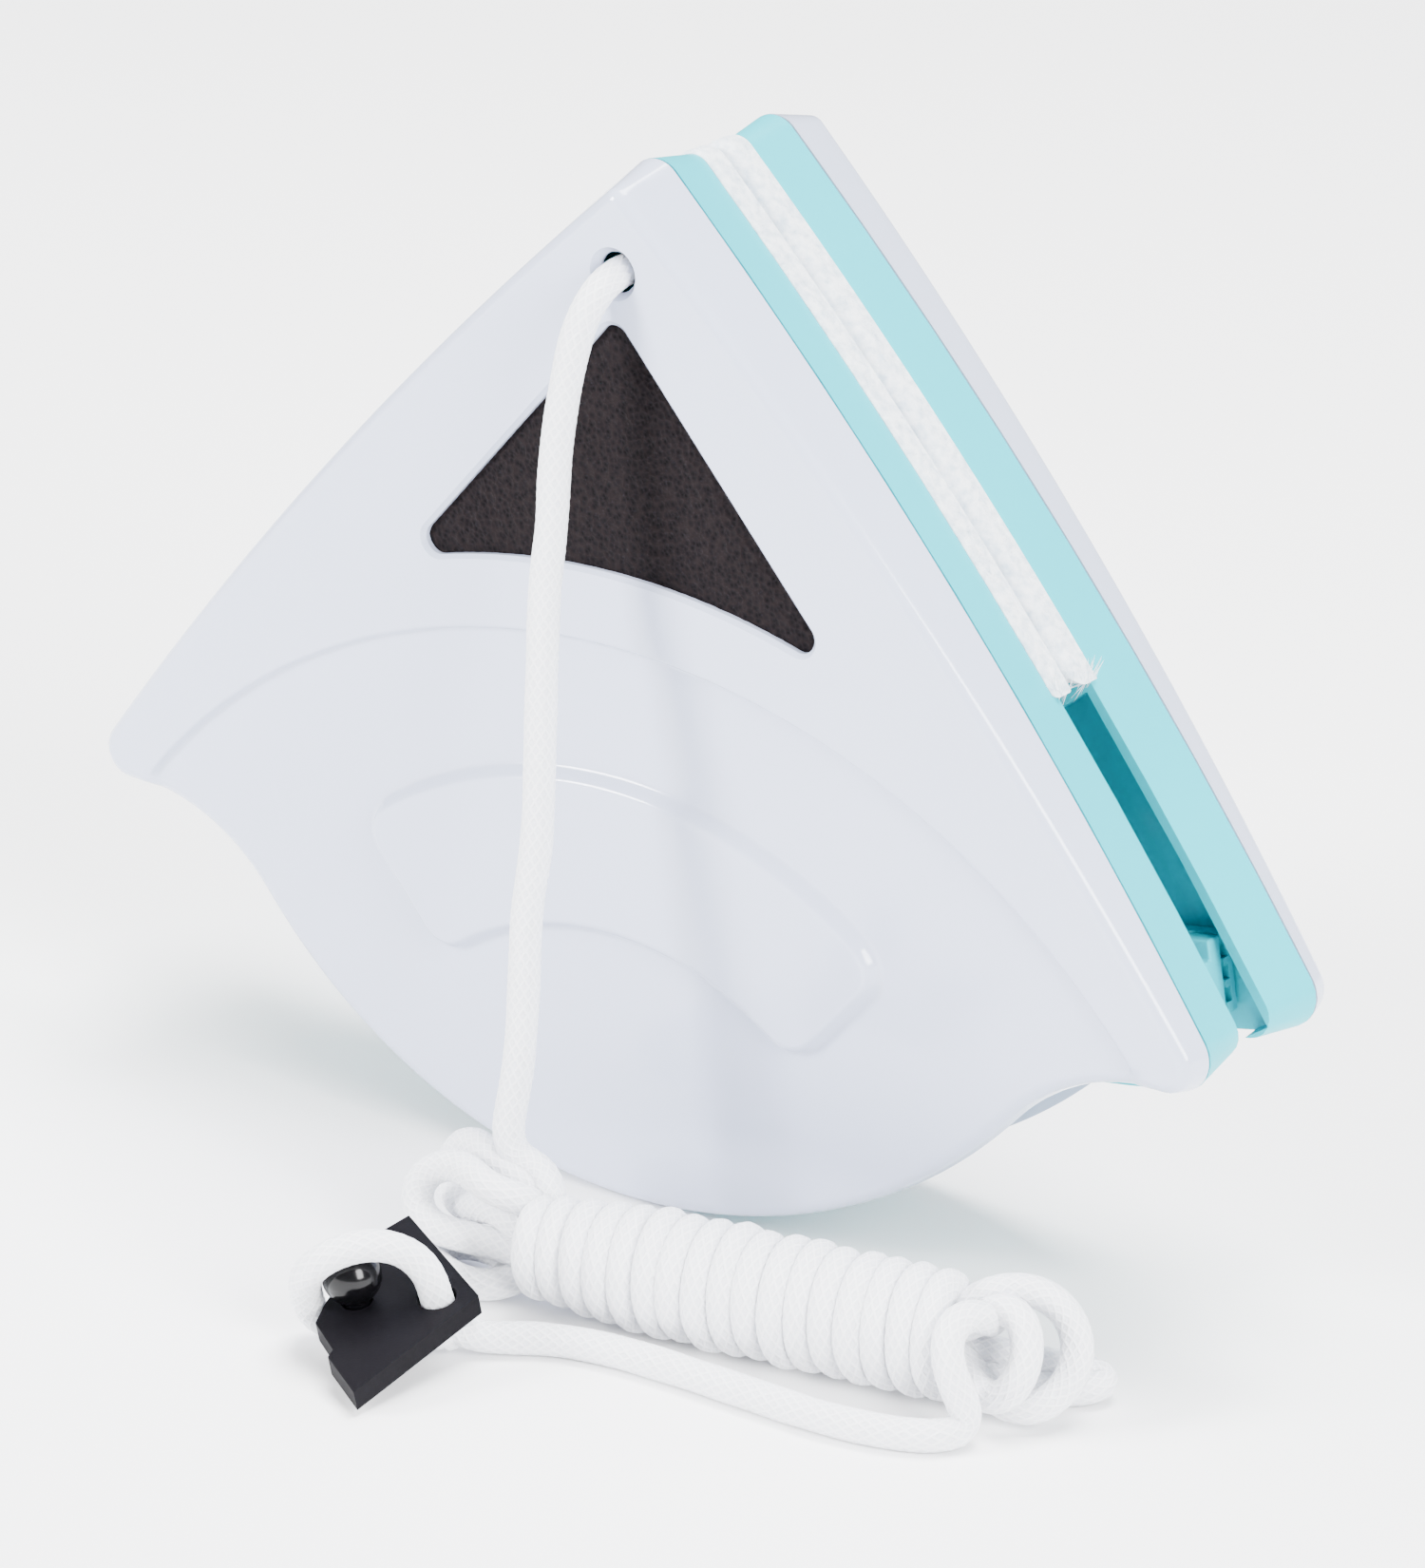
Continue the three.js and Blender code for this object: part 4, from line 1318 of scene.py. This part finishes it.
@dataclass(frozen=True)
class Knot:
    """Overhand knot drawn tight, on the cord."""

    name: str
    node: str
    yarn: float
    tip: float = 0.4

    def build(self) -> bpy.types.Object:
        """Builds the knot in its CAD node's box.

        Returns:
            The piece.
        """
        low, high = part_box(self.node)
        middle = np.array((low + high) / 2)
        room = min(high - low) / 2 - self.yarn
        t = np.arange(60) / 60 * 2 * math.pi
        x, y = np.sin(t) + 2 * np.sin(2 * t), np.cos(t) - 2 * np.cos(2 * t)
        shape = np.stack([x, y, -1.6 * np.sin(3 * t)], 1) / 3
        lean = np.array(Matrix.Rotation(self.tip, 3, "X") @ Matrix.Rotation(0.5, 3, "Y"))
        path = spline(middle + room * shape @ lean.T, 0.0004, closed=True)
        piece = Braid(self.yarn, step=0.0004, sides=14).tube(self.name, path, closed=True)
        return settle(piece, Side.FRONT.body, Finish.CORD, self.node)


@dataclass(frozen=True)
class SafetyCord:
    """White braided cord: from the hole down to a wound hank, its tail and the clip's loop."""

    diameter: float = 0.0036
    step: float = 0.0005
    start: tuple[float, float, float] = (7.8, -41.4, 7.2)
    end: tuple[float, float, float] = (59.3, -32.7, 8.0)
    turns: int = 17
    core_radius: float = 2.2
    first_turn: float = 4.0
    turn_swell: float = 1.6
    lap: float = 0.22
    wobble: float = 0.12
    turn_steps: int = 16
    slack: int = 22
    clip_place: tuple[float, float, float] = (0.0106, -0.0754, 0.0031)
    clip_turn: float = 1.449
    clip_tip: float = -0.26
    run: Route = (
        (0, -14.3, 110.9), (0, -17.5, 110.9), (-0.3, -20.3, 110), (-1, -22.3, 107.3), (-1.6, -23.4, 103.6),
        (-2, -24, 99.8), (-2.4, -24.6, 95), (-2.6, -25, 90), (-2.4, -25.6, 83), (-2.6, -26.2, 77.7),
        (-1.3, -28.3, 62.5), (-0.1, -30.2, 48.5), (-0.3, -31.4, 41.2), (0.5, -32.8, 31.9), (1.2, -34.4, 24),
        (1.3, -36.2, 15.1),
    )
    knuckle: Route = ((2.8, -35.9, 13.6), (4.9, -35.4, 13.4), (7.4, -36.8, 12.4))
    left_outer: Route = (
        (8.3, -39.9, 11.2), (4.9, -43.4, 13.2), (-2.6, -40.1, 13), (-6.9, -40.0, 11), (-7.9, -41.0, 7.6),
        (-4.8, -41.9, 5.6), (0.4, -41.6, 5.6), (6.0, -41.6, 6),
    )
    left_top: Route = (
        (7.5, -38.2, 10.8), (1.6, -37.3, 12.6), (-4.6, -33.9, 12.8), (-8.6, -32.2, 10.6), (-8.9, -33.4, 7.2),
        (-4.4, -36.6, 6.4), (3.4, -40.3, 9.4), (8.6, -41.6, 8.6),
    )
    left_low: Route = (
        (7.1, -40.4, 4.2), (0.3, -37.6, 2.8), (-4.2, -37.4, 2.1), (-6.2, -40.2, 1.9), (-3.0, -43.4, 1.9),
        (4.5, -44.4, 2.0),
    )
    right_far: Route = (
        (58.5, -29.6, 5.6), (63.9, -25.8, 4.2), (68.6, -22.2, 2.9), (70.9, -21.0, 2.4), (70.3, -23.6, 2),
        (65.4, -27.0, 2), (59.5, -29.6, 3.4),
    )
    right_outer: Route = (
        (58.4, -31.2, 11), (61.4, -27.8, 12.8), (65.7, -25.8, 12.4), (69.0, -25.9, 10), (70.8, -27.8, 7),
        (70.4, -29.8, 4.2), (68.6, -32.9, 2.5), (65.3, -33.6, 2.6), (60.1, -31.9, 4),
    )
    right_middle: Route = (
        (59.5, -32.6, 9.2), (62.2, -31.2, 12), (65.2, -31.1, 12.3), (67.6, -32.6, 9), (67.4, -34.8, 5.4),
        (65.2, -35.3, 3.4), (60.8, -34.2, 4.4),
    )
    tuck: Route = (
        (60.2, -28.4, 9.8), (61.5, -30.2, 10), (62.3, -32.4, 11), (61.8, -34.9, 12.6), (61.1, -37.4, 12.5),
        (61.6, -39.6, 10.4), (62.9, -40.2, 7.4), (64.4, -39.6, 4.4),
    )
    tail: Route = (
        (64.8, -39.6, 1.85), (63.6, -42.8, 1.85), (60.4, -44.9, 1.85), (55, -46.5, 1.85),
        (49.5, -47.2, 1.85), (42, -47.3, 1.85), (36, -47.4, 1.85), (30, -47.6, 1.85),
        (24, -48.2, 1.85), (19.5, -49.4, 1.85), (15.5, -51.5, 1.85), (12.9, -53.8, 2), (11.2, -55.3, 2.2),
    )
    clip_loop: Route = (
        (16.9, 3.8, -2.3), (16.9, 3.8, 0.5), (16.7, 4.2, 3.6), (15.3, 5.4, 6.6), (13.3, 7.1, 8.2),
        (11.1, 9.3, 8.4), (9.1, 10.9, 7.8), (7.8, 13.4, 5.5), (8.5, 15.1, 2), (9.4, 16.1, -1),
        (10.1, 16.2, -3.5), (11.5, 14, -4.35), (11.4, 11.6, -4.35),
    )

    @property
    def clip_frame(self) -> Matrix:
        """Where the clip's own frame stands."""
        turn = Matrix.Rotation(self.clip_turn, 4, "Z") @ Matrix.Rotation(self.clip_tip, 4, "Y")
        return Matrix.Translation(self.clip_place) @ turn

    @property
    def axis(self) -> tuple[np.ndarray, np.ndarray, np.ndarray]:
        """The hank's two ends and the level direction across it.

        Returns:
            Left end, right end and a direction, in millimetres.
        """
        start, end = np.array(self.start), np.array(self.end)
        way = (end - start) / np.linalg.norm(end - start)
        return start, end, np.cross(way, [0, 0, 1])

    def core(self, number: int) -> list[np.ndarray]:
        """Points of one straight strand inside the hank, from its left end to its right.

        Args:
            number: which of the six strands.

        Returns:
            The points, in millimetres.
        """
        start, end, out = self.axis
        turn = number * math.pi / 3
        off = self.core_radius * (math.cos(turn) * np.array([0, 0, 1]) + math.sin(turn) * out)
        return [start + (end - start) * share + off for share in (0.1, 0.3, 0.5, 0.7, 0.9)]

    def winding(self) -> list[np.ndarray]:
        """Points of the turns round the hank, from its left end to its right.

        Returns:
            The points, in millimetres.
        """
        start, end, out = self.axis
        found = []
        steps = self.turn_steps
        for i in range(self.turns * steps + steps // 4):
            share = i / (self.turns * steps)
            turn = math.pi + 2 * math.pi * i / steps
            lap = self.lap * math.sin(2.4 * share * self.turns + 0.6)
            swell = math.sin(min(share * 2.4, 1) * QUARTER)
            radius = (self.first_turn + self.turn_swell * swell + self.wobble * math.sin(turn * 1.7)
                      + lap * 0.6)
            away = math.cos(turn) * np.array([0, 0, 1]) + math.sin(turn) * out
            found.append(start + (end - start) * (share * 0.98 + 0.012 * lap) + radius * away)
        return found

    def path(self) -> np.ndarray:
        """Middle line of the whole cord, in metres.

        Returns:
            Evenly spaced points.
        """
        stages: list[Sequence[Sequence[float]]] = [
            self.run, self.knuckle, self.core(1), self.right_far, self.core(2)[::-1], self.left_outer,
            self.core(3), self.right_outer, self.core(5)[::-1], self.left_top, self.core(0),
            self.right_middle, self.core(4)[::-1], self.left_low, self.winding(), self.tuck, self.tail,
        ]
        points = np.concatenate([np.array(stage, float) for stage in stages]) * MM
        loop = [self.clip_frame @ (Vector(p) * MM) for p in self.clip_loop]
        line = spline(np.concatenate([points, np.array(loop)]), self.step)
        for _ in range(self.slack):
            line[1:-1] = (line[:-2] + 2 * line[1:-1] + line[2:]) / 4
        line[:, 2] = np.maximum(line[:, 2], self.diameter * 0.515)
        return spline(line[::2], self.step)

    def build(self) -> bpy.types.Object:
        """Returns:
            The cord.
        """
        path = self.path()
        piece = Braid(self.diameter / 2, self.step).tube("safety_cord", path)
        settle(piece, Side.FRONT.body, Finish.CORD, "cord_run", "cord_hank", "cord_tail", "cord_loop")
        stopper = Knot("stopper_knot", "cord_stopper_knot", 0.0011).build()
        ends = [stopper, Knot("clip_end_knot", "clip_knot", 0.0009).build()]
        return piece


# ---------- pieces that follow their CAD solids ----------


@dataclass(frozen=True)
class Moulding:
    """Moulded piece with its CAD solid's shape and softened edges."""

    node: str
    name: str
    body: str
    finish: Finish
    edge: float
    angle: float = 32.0
    weld: float = 2e-6
    flat: float = 1.2

    def build(self) -> bpy.types.Object:
        """Builds the piece.

        Returns:
            The piece.
        """
        data = bpy.data.meshes.new(self.name)
        shape = bmesh.new()
        shape.from_mesh(frame["nodes"][self.node].data)
        bmesh.ops.remove_doubles(shape, verts=shape.verts, dist=self.weld)
        bmesh.ops.dissolve_limit(shape, angle_limit=math.radians(self.flat), verts=shape.verts,
                                 edges=shape.edges)
        shape.to_mesh(data)
        shape.free()
        for layer in ("custom_normal", "sharp_edge", "sharp_face"):
            if layer in data.attributes:
                data.attributes.remove(data.attributes[layer])
        data.shade_smooth()
        piece = show(self.name, data)
        rounding = piece.modifiers.new("edges", "BEVEL")
        rounding.width = self.edge
        rounding.segments = 3
        rounding.limit_method = "ANGLE"
        rounding.angle_limit = math.radians(self.angle)
        rounding.harden_normals = True
        return settle(piece, self.body, self.finish, self.node)


# ---------- foam and fleece ----------


@dataclass(frozen=True)
class FoamInsert:
    """Charcoal foam behind the window, cut a little larger than it, with an open surface."""

    set_back: float = 0.0009
    lip: float = 0.0012
    thickness: float = 0.003
    roughness: float = 0.00016
    swell: float = 0.0003
    swell_reach: float = 0.004
    pitch: float = 0.0007

    def build(self, side: Side) -> bpy.types.Object:
        """Builds the foam of one half.

        Args:
            side: which half.

        Returns:
            The piece.
        """
        cover = Cover()
        border = cover.window(-self.lip)
        relief = Relief(border, (), (), self.pitch)
        points, triangles = relief.build()
        generator = np.random.default_rng(7)
        edge = np.minimum(distance_to(points, border) / self.swell_reach, 1)
        top = cover.height(points) - self.set_back + self.swell * (edge - 1)
        top = top + self.roughness * (generator.random(len(points)) - 0.7) * np.minimum(edge * 3, 1)
        body = Body()
        first = body.sheet(points, top, triangles[:, ::-1])
        second = body.sheet(points, cover.height(points) - self.set_back - self.thickness, triangles)
        edge_numbers = loop_numbers(points, border)
        body.join(edge_numbers + second, edge_numbers + first, flip=True)
        piece = body.mesh(f"{side.value}_foam_insert", side.turn)
        settle(piece, side.body, Finish.FOAM, f"{side.value}_foam")
        return piece


class FibreScatter:
    """Geometry Nodes tree that sets short leaning fibres on a surface."""

    flat_density: float = 0.12
    flat_length: float = 0.3
    lean: float = 0.7
    roll: float = 6.2
    shortest: float = 0.5
    longest: float = 1.5
    tip_radius: float = 0.00001

    def __init__(self) -> None:
        """Builds the tree with its named inputs."""
        self.tree = bpy.data.node_groups.new("fibre_scatter", "GeometryNodeTree")
        interface = self.tree.interface
        interface.new_socket("Geometry", in_out="INPUT", socket_type="NodeSocketGeometry")
        kinds = {"Density": "Float", "Length": "Float", "Thickness": "Float", "Seed": "Int"}
        for name, kind in (*kinds.items(), ("Finish", "Material")):
            interface.new_socket(name, in_out="INPUT", socket_type=f"NodeSocket{kind}")
        interface.new_socket("Geometry", in_out="OUTPUT", socket_type="NodeSocketGeometry")
        self.grow()

    def node(self, kind: str, **inputs: object) -> bpy.types.Node:
        """Adds a node, linking or setting its inputs by name.

        Args:
            kind: type of the node.
            **inputs: values or outputs for its inputs, with _ for a space.

        Returns:
            The node.
        """
        made = self.tree.nodes.new(kind)
        for key, value in inputs.items():
            socket = made.inputs[key.replace("_", " ")]
            if isinstance(value, bpy.types.NodeSocket):
                self.tree.links.new(value, socket)
            else:
                socket.default_value = value
        return made

    def times(self, first: bpy.types.NodeSocket, second: bpy.types.NodeSocket) -> bpy.types.NodeSocket:
        """Product of two values.

        Args:
            first: one value.
            second: the other.

        Returns:
            The product.
        """
        made = self.tree.nodes.new("ShaderNodeMath")
        made.operation = "MULTIPLY"
        self.tree.links.new(first, made.inputs[0])
        self.tree.links.new(second, made.inputs[1])
        return made.outputs["Value"]

    def edge_share(self, normal: bpy.types.NodeSocket, least: float) -> bpy.types.NodeSocket:
        """Value that is 1 where the pad's edge faces outwards and least on its flat faces.

        Args:
            normal: the surface's normal.
            least: the value where the normal lies along Y.

        Returns:
            The value.
        """
        parts = self.node("ShaderNodeSeparateXYZ", Vector=normal)
        flat = self.tree.nodes.new("ShaderNodeMath")
        flat.operation = "ABSOLUTE"
        self.tree.links.new(parts.outputs["Y"], flat.inputs[0])
        share = self.node("ShaderNodeMapRange", Value=flat.outputs["Value"], To_Min=1.0, To_Max=least)
        return share.outputs["Result"]

    def grow(self) -> None:
        """Wires points on the surface, fibres on the points, and the join."""
        start = self.node("NodeGroupInput").outputs
        normal = self.node("GeometryNodeInputNormal").outputs["Normal"]
        density = self.times(start["Density"], self.edge_share(normal, self.flat_density))
        spread = self.node("GeometryNodeDistributePointsOnFaces", Mesh=start["Geometry"], Density=density,
                           Seed=start["Seed"])
        cone = self.node("GeometryNodeMeshCone", Vertices=3, Side_Segments=1, Radius_Top=self.tip_radius,
                         Radius_Bottom=start["Thickness"], Depth=start["Length"])
        cone.fill_type = "NONE"
        tilt = self.node("FunctionNodeRandomValue", Seed=start["Seed"])
        tilt.data_type = "FLOAT_VECTOR"
        tilt.inputs[0].default_value = (-self.lean, -self.lean, 0)
        tilt.inputs[1].default_value = (self.lean, self.lean, self.roll)
        turned = self.node("FunctionNodeRotateRotation", Rotation=spread.outputs["Rotation"],
                           Rotate_By=tilt.outputs[0])
        turned.rotation_space = "LOCAL"
        size = self.node("FunctionNodeRandomValue", Seed=start["Seed"])
        size.inputs[2].default_value = self.shortest
        size.inputs[3].default_value = self.longest
        reach = self.times(size.outputs[1], self.edge_share(spread.outputs["Normal"], self.flat_length))
        placed = self.node("GeometryNodeInstanceOnPoints", Points=spread.outputs["Points"],
                           Instance=cone.outputs["Mesh"], Rotation=turned.outputs["Rotation"], Scale=reach)
        both = self.node("GeometryNodeJoinGeometry")
        self.tree.links.new(start["Geometry"], both.inputs["Geometry"])
        self.tree.links.new(placed.outputs["Instances"], both.inputs["Geometry"])
        real = self.node("GeometryNodeRealizeInstances", Geometry=both.outputs["Geometry"])
        dressed = self.node("GeometryNodeSetMaterial", Geometry=real.outputs["Geometry"],
                            Material=start["Finish"])
        end = self.node("NodeGroupOutput")
        self.tree.links.new(dressed.outputs["Geometry"], end.inputs["Geometry"])

    def apply(self, piece: bpy.types.Object, finish: Finish, **values: float) -> None:
        """Grows the fibres on a piece and leaves a plain mesh.

        Args:
            piece: piece to grow them on.
            finish: its finish.
            **values: the tree's inputs by name.
        """
        modifier = piece.modifiers.new("fibres", "NODES")
        modifier.node_group = self.tree
        inputs = (item for item in self.tree.interface.items_tree if item.in_out == "INPUT")
        names = {item.name: item.identifier for item in inputs}
        for key, value in values.items():
            modifier[names[key]] = value
        modifier[names["Finish"]] = material_of(finish)
        seen = piece.evaluated_get(bpy.context.evaluated_depsgraph_get())
        grown = bpy.data.meshes.new_from_object(seen)
        piece.modifiers.clear()
        piece.data = grown


@dataclass(frozen=True)
class FleecePad:
    """White fleece on the glass side, with a soft edge and standing fibres."""

    corner: tuple[float, float] = (0.0475, 0.069)
    margin: float = 0.0009
    seat: float = 0.00105
    tip: float = 0.00035
    rounding: float = 0.0013
    least_tip: float = 0.0003
    flare: float = 0.0003
    skirt: float = 0.0004
    wave: float = 0.00012
    pitch: float = 0.0016
    fibre_length: float = 0.0021
    fibre_radius: float = 0.00006

    def outline(self, inset: float) -> Outline:
        """Outline of the pad, drawn in by inset.

        Args:
            inset: how far it is drawn in.

        Returns:
            The outline.
        """
        low_centre, _ = SHIELD.lower_arc
        foot = np.array([self.corner[0] - inset, self.corner[1] + inset])
        radius = float(np.hypot(*(foot - low_centre)))
        heel = circles_meet(SHIELD.side_centre, SHIELD.side_radius - inset, low_centre, radius)
        right = np.concatenate([
            SHIELD.apex_and_side(inset, heel, 70),
            arc(low_centre, radius, bearing(low_centre, heel), -QUARTER, 50),
            [[0.0, low_centre[1] - radius]],
        ])
        return mirrored(right)

    def build(self, side: Side, scatter: FibreScatter) -> bpy.types.Object:
        """Builds the pad of one half.

        Args:
            side: which half.
            scatter: the tree that grows the fibres.

        Returns:
            The piece.
        """
        body = Body()
        edge = 1.1 * self.margin
        rise = SHIELD.glass_gap + self.seat
        rings = [body.ring(self.outline(edge), rise)]
        for y in np.linspace(rise - self.skirt, self.tip + self.rounding, 4):
            rings.append(body.ring(self.outline(edge - self.flare), y))
        for turn in np.linspace(0, QUARTER, 6)[1:-1]:
            inset = edge - self.flare + self.rounding * (1 - math.cos(turn))
            rings.append(body.ring(self.outline(inset), self.tip + self.rounding * (1 - math.sin(turn))))
        border = self.outline(edge - self.flare + self.rounding)
        relief = Relief(border, (), (), self.pitch)
        points, triangles = relief.build()
        wander = 3 * np.sin(points[:, 1] * 420)
        waves = self.wave * np.sin(points[:, 0] * 900 + wander) * np.sin(points[:, 1] * 760)
        first = body.sheet(points, np.maximum(self.tip + waves, self.least_tip), triangles)
        second = body.sheet(points, np.full(len(points), rise), triangles[:, ::-1])
        numbers = loop_numbers(points, border)
        rings.append(numbers + first)
        for low, high in zip(rings, rings[1:]):
            body.join(low, high)
        body.join(numbers + second, rings[0])
        piece = body.mesh(f"{side.value}_fleece", side.turn)
        density = 1.25e7
        scatter.apply(piece, Finish.FLEECE, Density=density, Length=self.fibre_length,
                      Thickness=self.fibre_radius, Seed=11)
        settle(piece, side.body, Finish.FLEECE, f"{side.value}_fleece_pad")
        return piece


@dataclass(frozen=True)
class BallKnob:
    """Black ball that holds the cord, turned on its shank, with a fine parting line."""

    place: tuple[float, float, float] = (0.0119, 0.011, 0.0034)
    radius: float = 0.0033
    shank: float = 0.0015
    foot: float = -0.0024
    sides: int = 48
    seam_depth: float = 0.008
    seam_width: float = 0.035

    def build(self, stand: Matrix) -> bpy.types.Object:
        """Builds the knob in the clip's frame.

        Args:
            stand: where the clip's frame stands.

        Returns:
            The piece.
        """
        start = math.asin(self.shank / self.radius)
        turns = np.linspace(start, math.pi, 40)
        neck = self.place[2] - self.radius * math.cos(start)
        profile = [(0.0, self.foot), (self.shank, self.foot), (self.shank, neck)]
        for turn in turns:
            seam = math.exp(-(((turn - QUARTER) / self.seam_width) ** 2))
            radius = self.radius * (1 - self.seam_depth * seam)
            profile.append((radius * math.sin(turn), self.place[2] - radius * math.cos(turn)))
        angles = np.arange(self.sides) / self.sides * 2 * math.pi
        body = Body()
        rings = []
        for reach, rise in profile[1:-1]:
            rows = np.stack([self.place[0] + reach * np.cos(angles), self.place[1] + reach * np.sin(angles),
                             np.full(self.sides, rise)], 1)
            moved = np.array([stand @ Vector(row) for row in rows])
            rings.append(np.arange(body.add(moved), body.count))
        for low, high in zip(rings, rings[1:]):
            body.join(low, high)
        body.faces += [tuple(int(i) for i in rings[0][::-1]), tuple(int(i) for i in rings[-1])]
        piece = body.mesh("ball_knob", 1.0)
        return settle(piece, Side.FRONT.body, Finish.BLACK_GLOSS, "clip_knob")


# ---------- camera, light and floor ----------


@dataclass(frozen=True)
class Lamp:
    """One soft rectangular light, aimed at the cleaner."""

    name: str
    place: tuple[float, float, float]
    size: tuple[float, float]
    watts: float
    aim: tuple[float, float, float] = (0.0, -0.01, 0.06)

    def build(self) -> None:
        """Makes the light."""
        data = bpy.data.lights.new(self.name, "AREA")
        data.shape = "RECTANGLE"
        data.size, data.size_y = self.size
        data.energy = self.watts
        lamp = show(self.name, data)
        lamp.location = self.place
        lamp.rotation_euler = (Vector(self.aim) - Vector(self.place)).to_track_quat("-Z", "Y").to_euler()


@dataclass(frozen=True)
class Studio:
    """Camera, floor and soft light."""

    eye: tuple[float, float, float] = (0.4243, -0.6105, 0.3428)
    right: tuple[float, float, float] = (0.8153, 0.5782, 0.0295)
    down: tuple[float, float, float] = (0.2366, -0.2863, -0.9285)
    ahead: tuple[float, float, float] = (-0.5284, 0.7640, -0.3703)
    lens: float = 163.64
    sensor: float = 36.0
    nearest: float = 0.01
    floor_size: float = 6.0
    floor_tones: tuple[tuple[float, float, float], ...] = ((0.93, 0.93, 0.935), (0.95, 0.95, 0.955))
    sky: tuple[float, float, float, float] = (0.95, 0.97, 1.0, 1.0)
    sky_strength: float = 0.65
    lamps: tuple[Lamp, ...] = (
        Lamp("key", place=(-0.8, -1.0, 0.55), size=(0.4, 0.55), watts=52),
        Lamp("fill", place=(1.3, -0.5, 0.7), size=(0.6, 0.9), watts=66),
        Lamp("top", place=(0.1, 0.2, 1.5), size=(1.0, 0.8), watts=80),
    )

    def camera(self) -> None:
        """Makes the camera and looks through it."""
        data = bpy.data.cameras.new("camera")
        data.lens = self.lens
        data.sensor_width = self.sensor
        data.clip_start = self.nearest
        eye = show("camera", data)
        columns = [Vector(self.right), -Vector(self.down), -Vector(self.ahead)]
        eye.matrix_world = Matrix.Translation(self.eye) @ Matrix(columns).transposed().to_4x4()
        bpy.context.scene.camera = eye

    def build(self) -> None:
        """Makes floor, sky and lights."""
        half = self.floor_size / 2
        data = bpy.data.meshes.new("floor")
        corners = [(-half, -half, 0), (half, -half, 0), (half, half, 0), (-half, half, 0)]
        data.from_pydata(corners, [], [(0, 1, 2, 3)])
        floor = show("floor", data)
        graph = Graph("pale_floor")
        tone = graph.noise(3, 2)
        graph.tint(tone, list(zip((0.3, 0.7), self.floor_tones)))
        graph.set(Roughness=0.85, Specular_IOR_Level=0.1)
        floor.data.materials.append(graph.material)
        world = bpy.data.worlds.new("studio")
        world.use_nodes = True
        background = world.node_tree.nodes["Background"].inputs
        background["Color"].default_value = self.sky
        background["Strength"].default_value = self.sky_strength
        bpy.context.scene.world = world
        for lamp in self.lamps:
            lamp.build()


# ---------- all of it ----------


def build_half(side: Side, scatter: FibreScatter) -> None:
    """Builds every piece of one half.

    Args:
        side: which half.
        scatter: the tree that grows the fleece's fibres.
    """
    Cover().build(side)
    FoamInsert().build(side)
    FleecePad().build(side, scatter)
    half = side.value
    body = side.body
    Moulding(f"{half}_frame", f"{half}_glass_frame", body, Finish.CYAN, edge=0.0004).build()
    for end in "ab":
        node, name = f"{half}_end_clip_{end}", f"{half}_corner_clip_{end}"
        Moulding(node, name, body, Finish.CYAN, edge=0.0003).build()
    for number in (1, 2, 3):
        Moulding(f"{half}_blade_{number}", f"{half}_fin_{number}", body, Finish.RUBBER, edge=0.00015).build()
        dress(frame["nodes"][f"{half}_magnet_{number}"], Finish.MAGNET)
        dress(frame["nodes"][f"{half}_screw_{number}"], Finish.SCREW)
    dress(frame["nodes"][f"{half}_yoke_plate"], Finish.YOKE)
    dress(frame["nodes"][f"{half}_blade_bar"], Finish.CYAN)


def main() -> None:
    """Builds the cleaner, piece by piece."""
    logging.basicConfig(level=logging.INFO, format="%(message)s")
    studio = Studio()
    studio.camera()
    studio.build()
    scatter = FibreScatter()
    for side in Side:
        build_half(side, scatter)
    cord = SafetyCord()
    cord.build()
    Moulding("clip_plate", "clip_body", Side.FRONT.body, Finish.BLACK, edge=0.00025).build()
    BallKnob().build(cord.clip_frame)


if __name__ == "__main__":
    main()
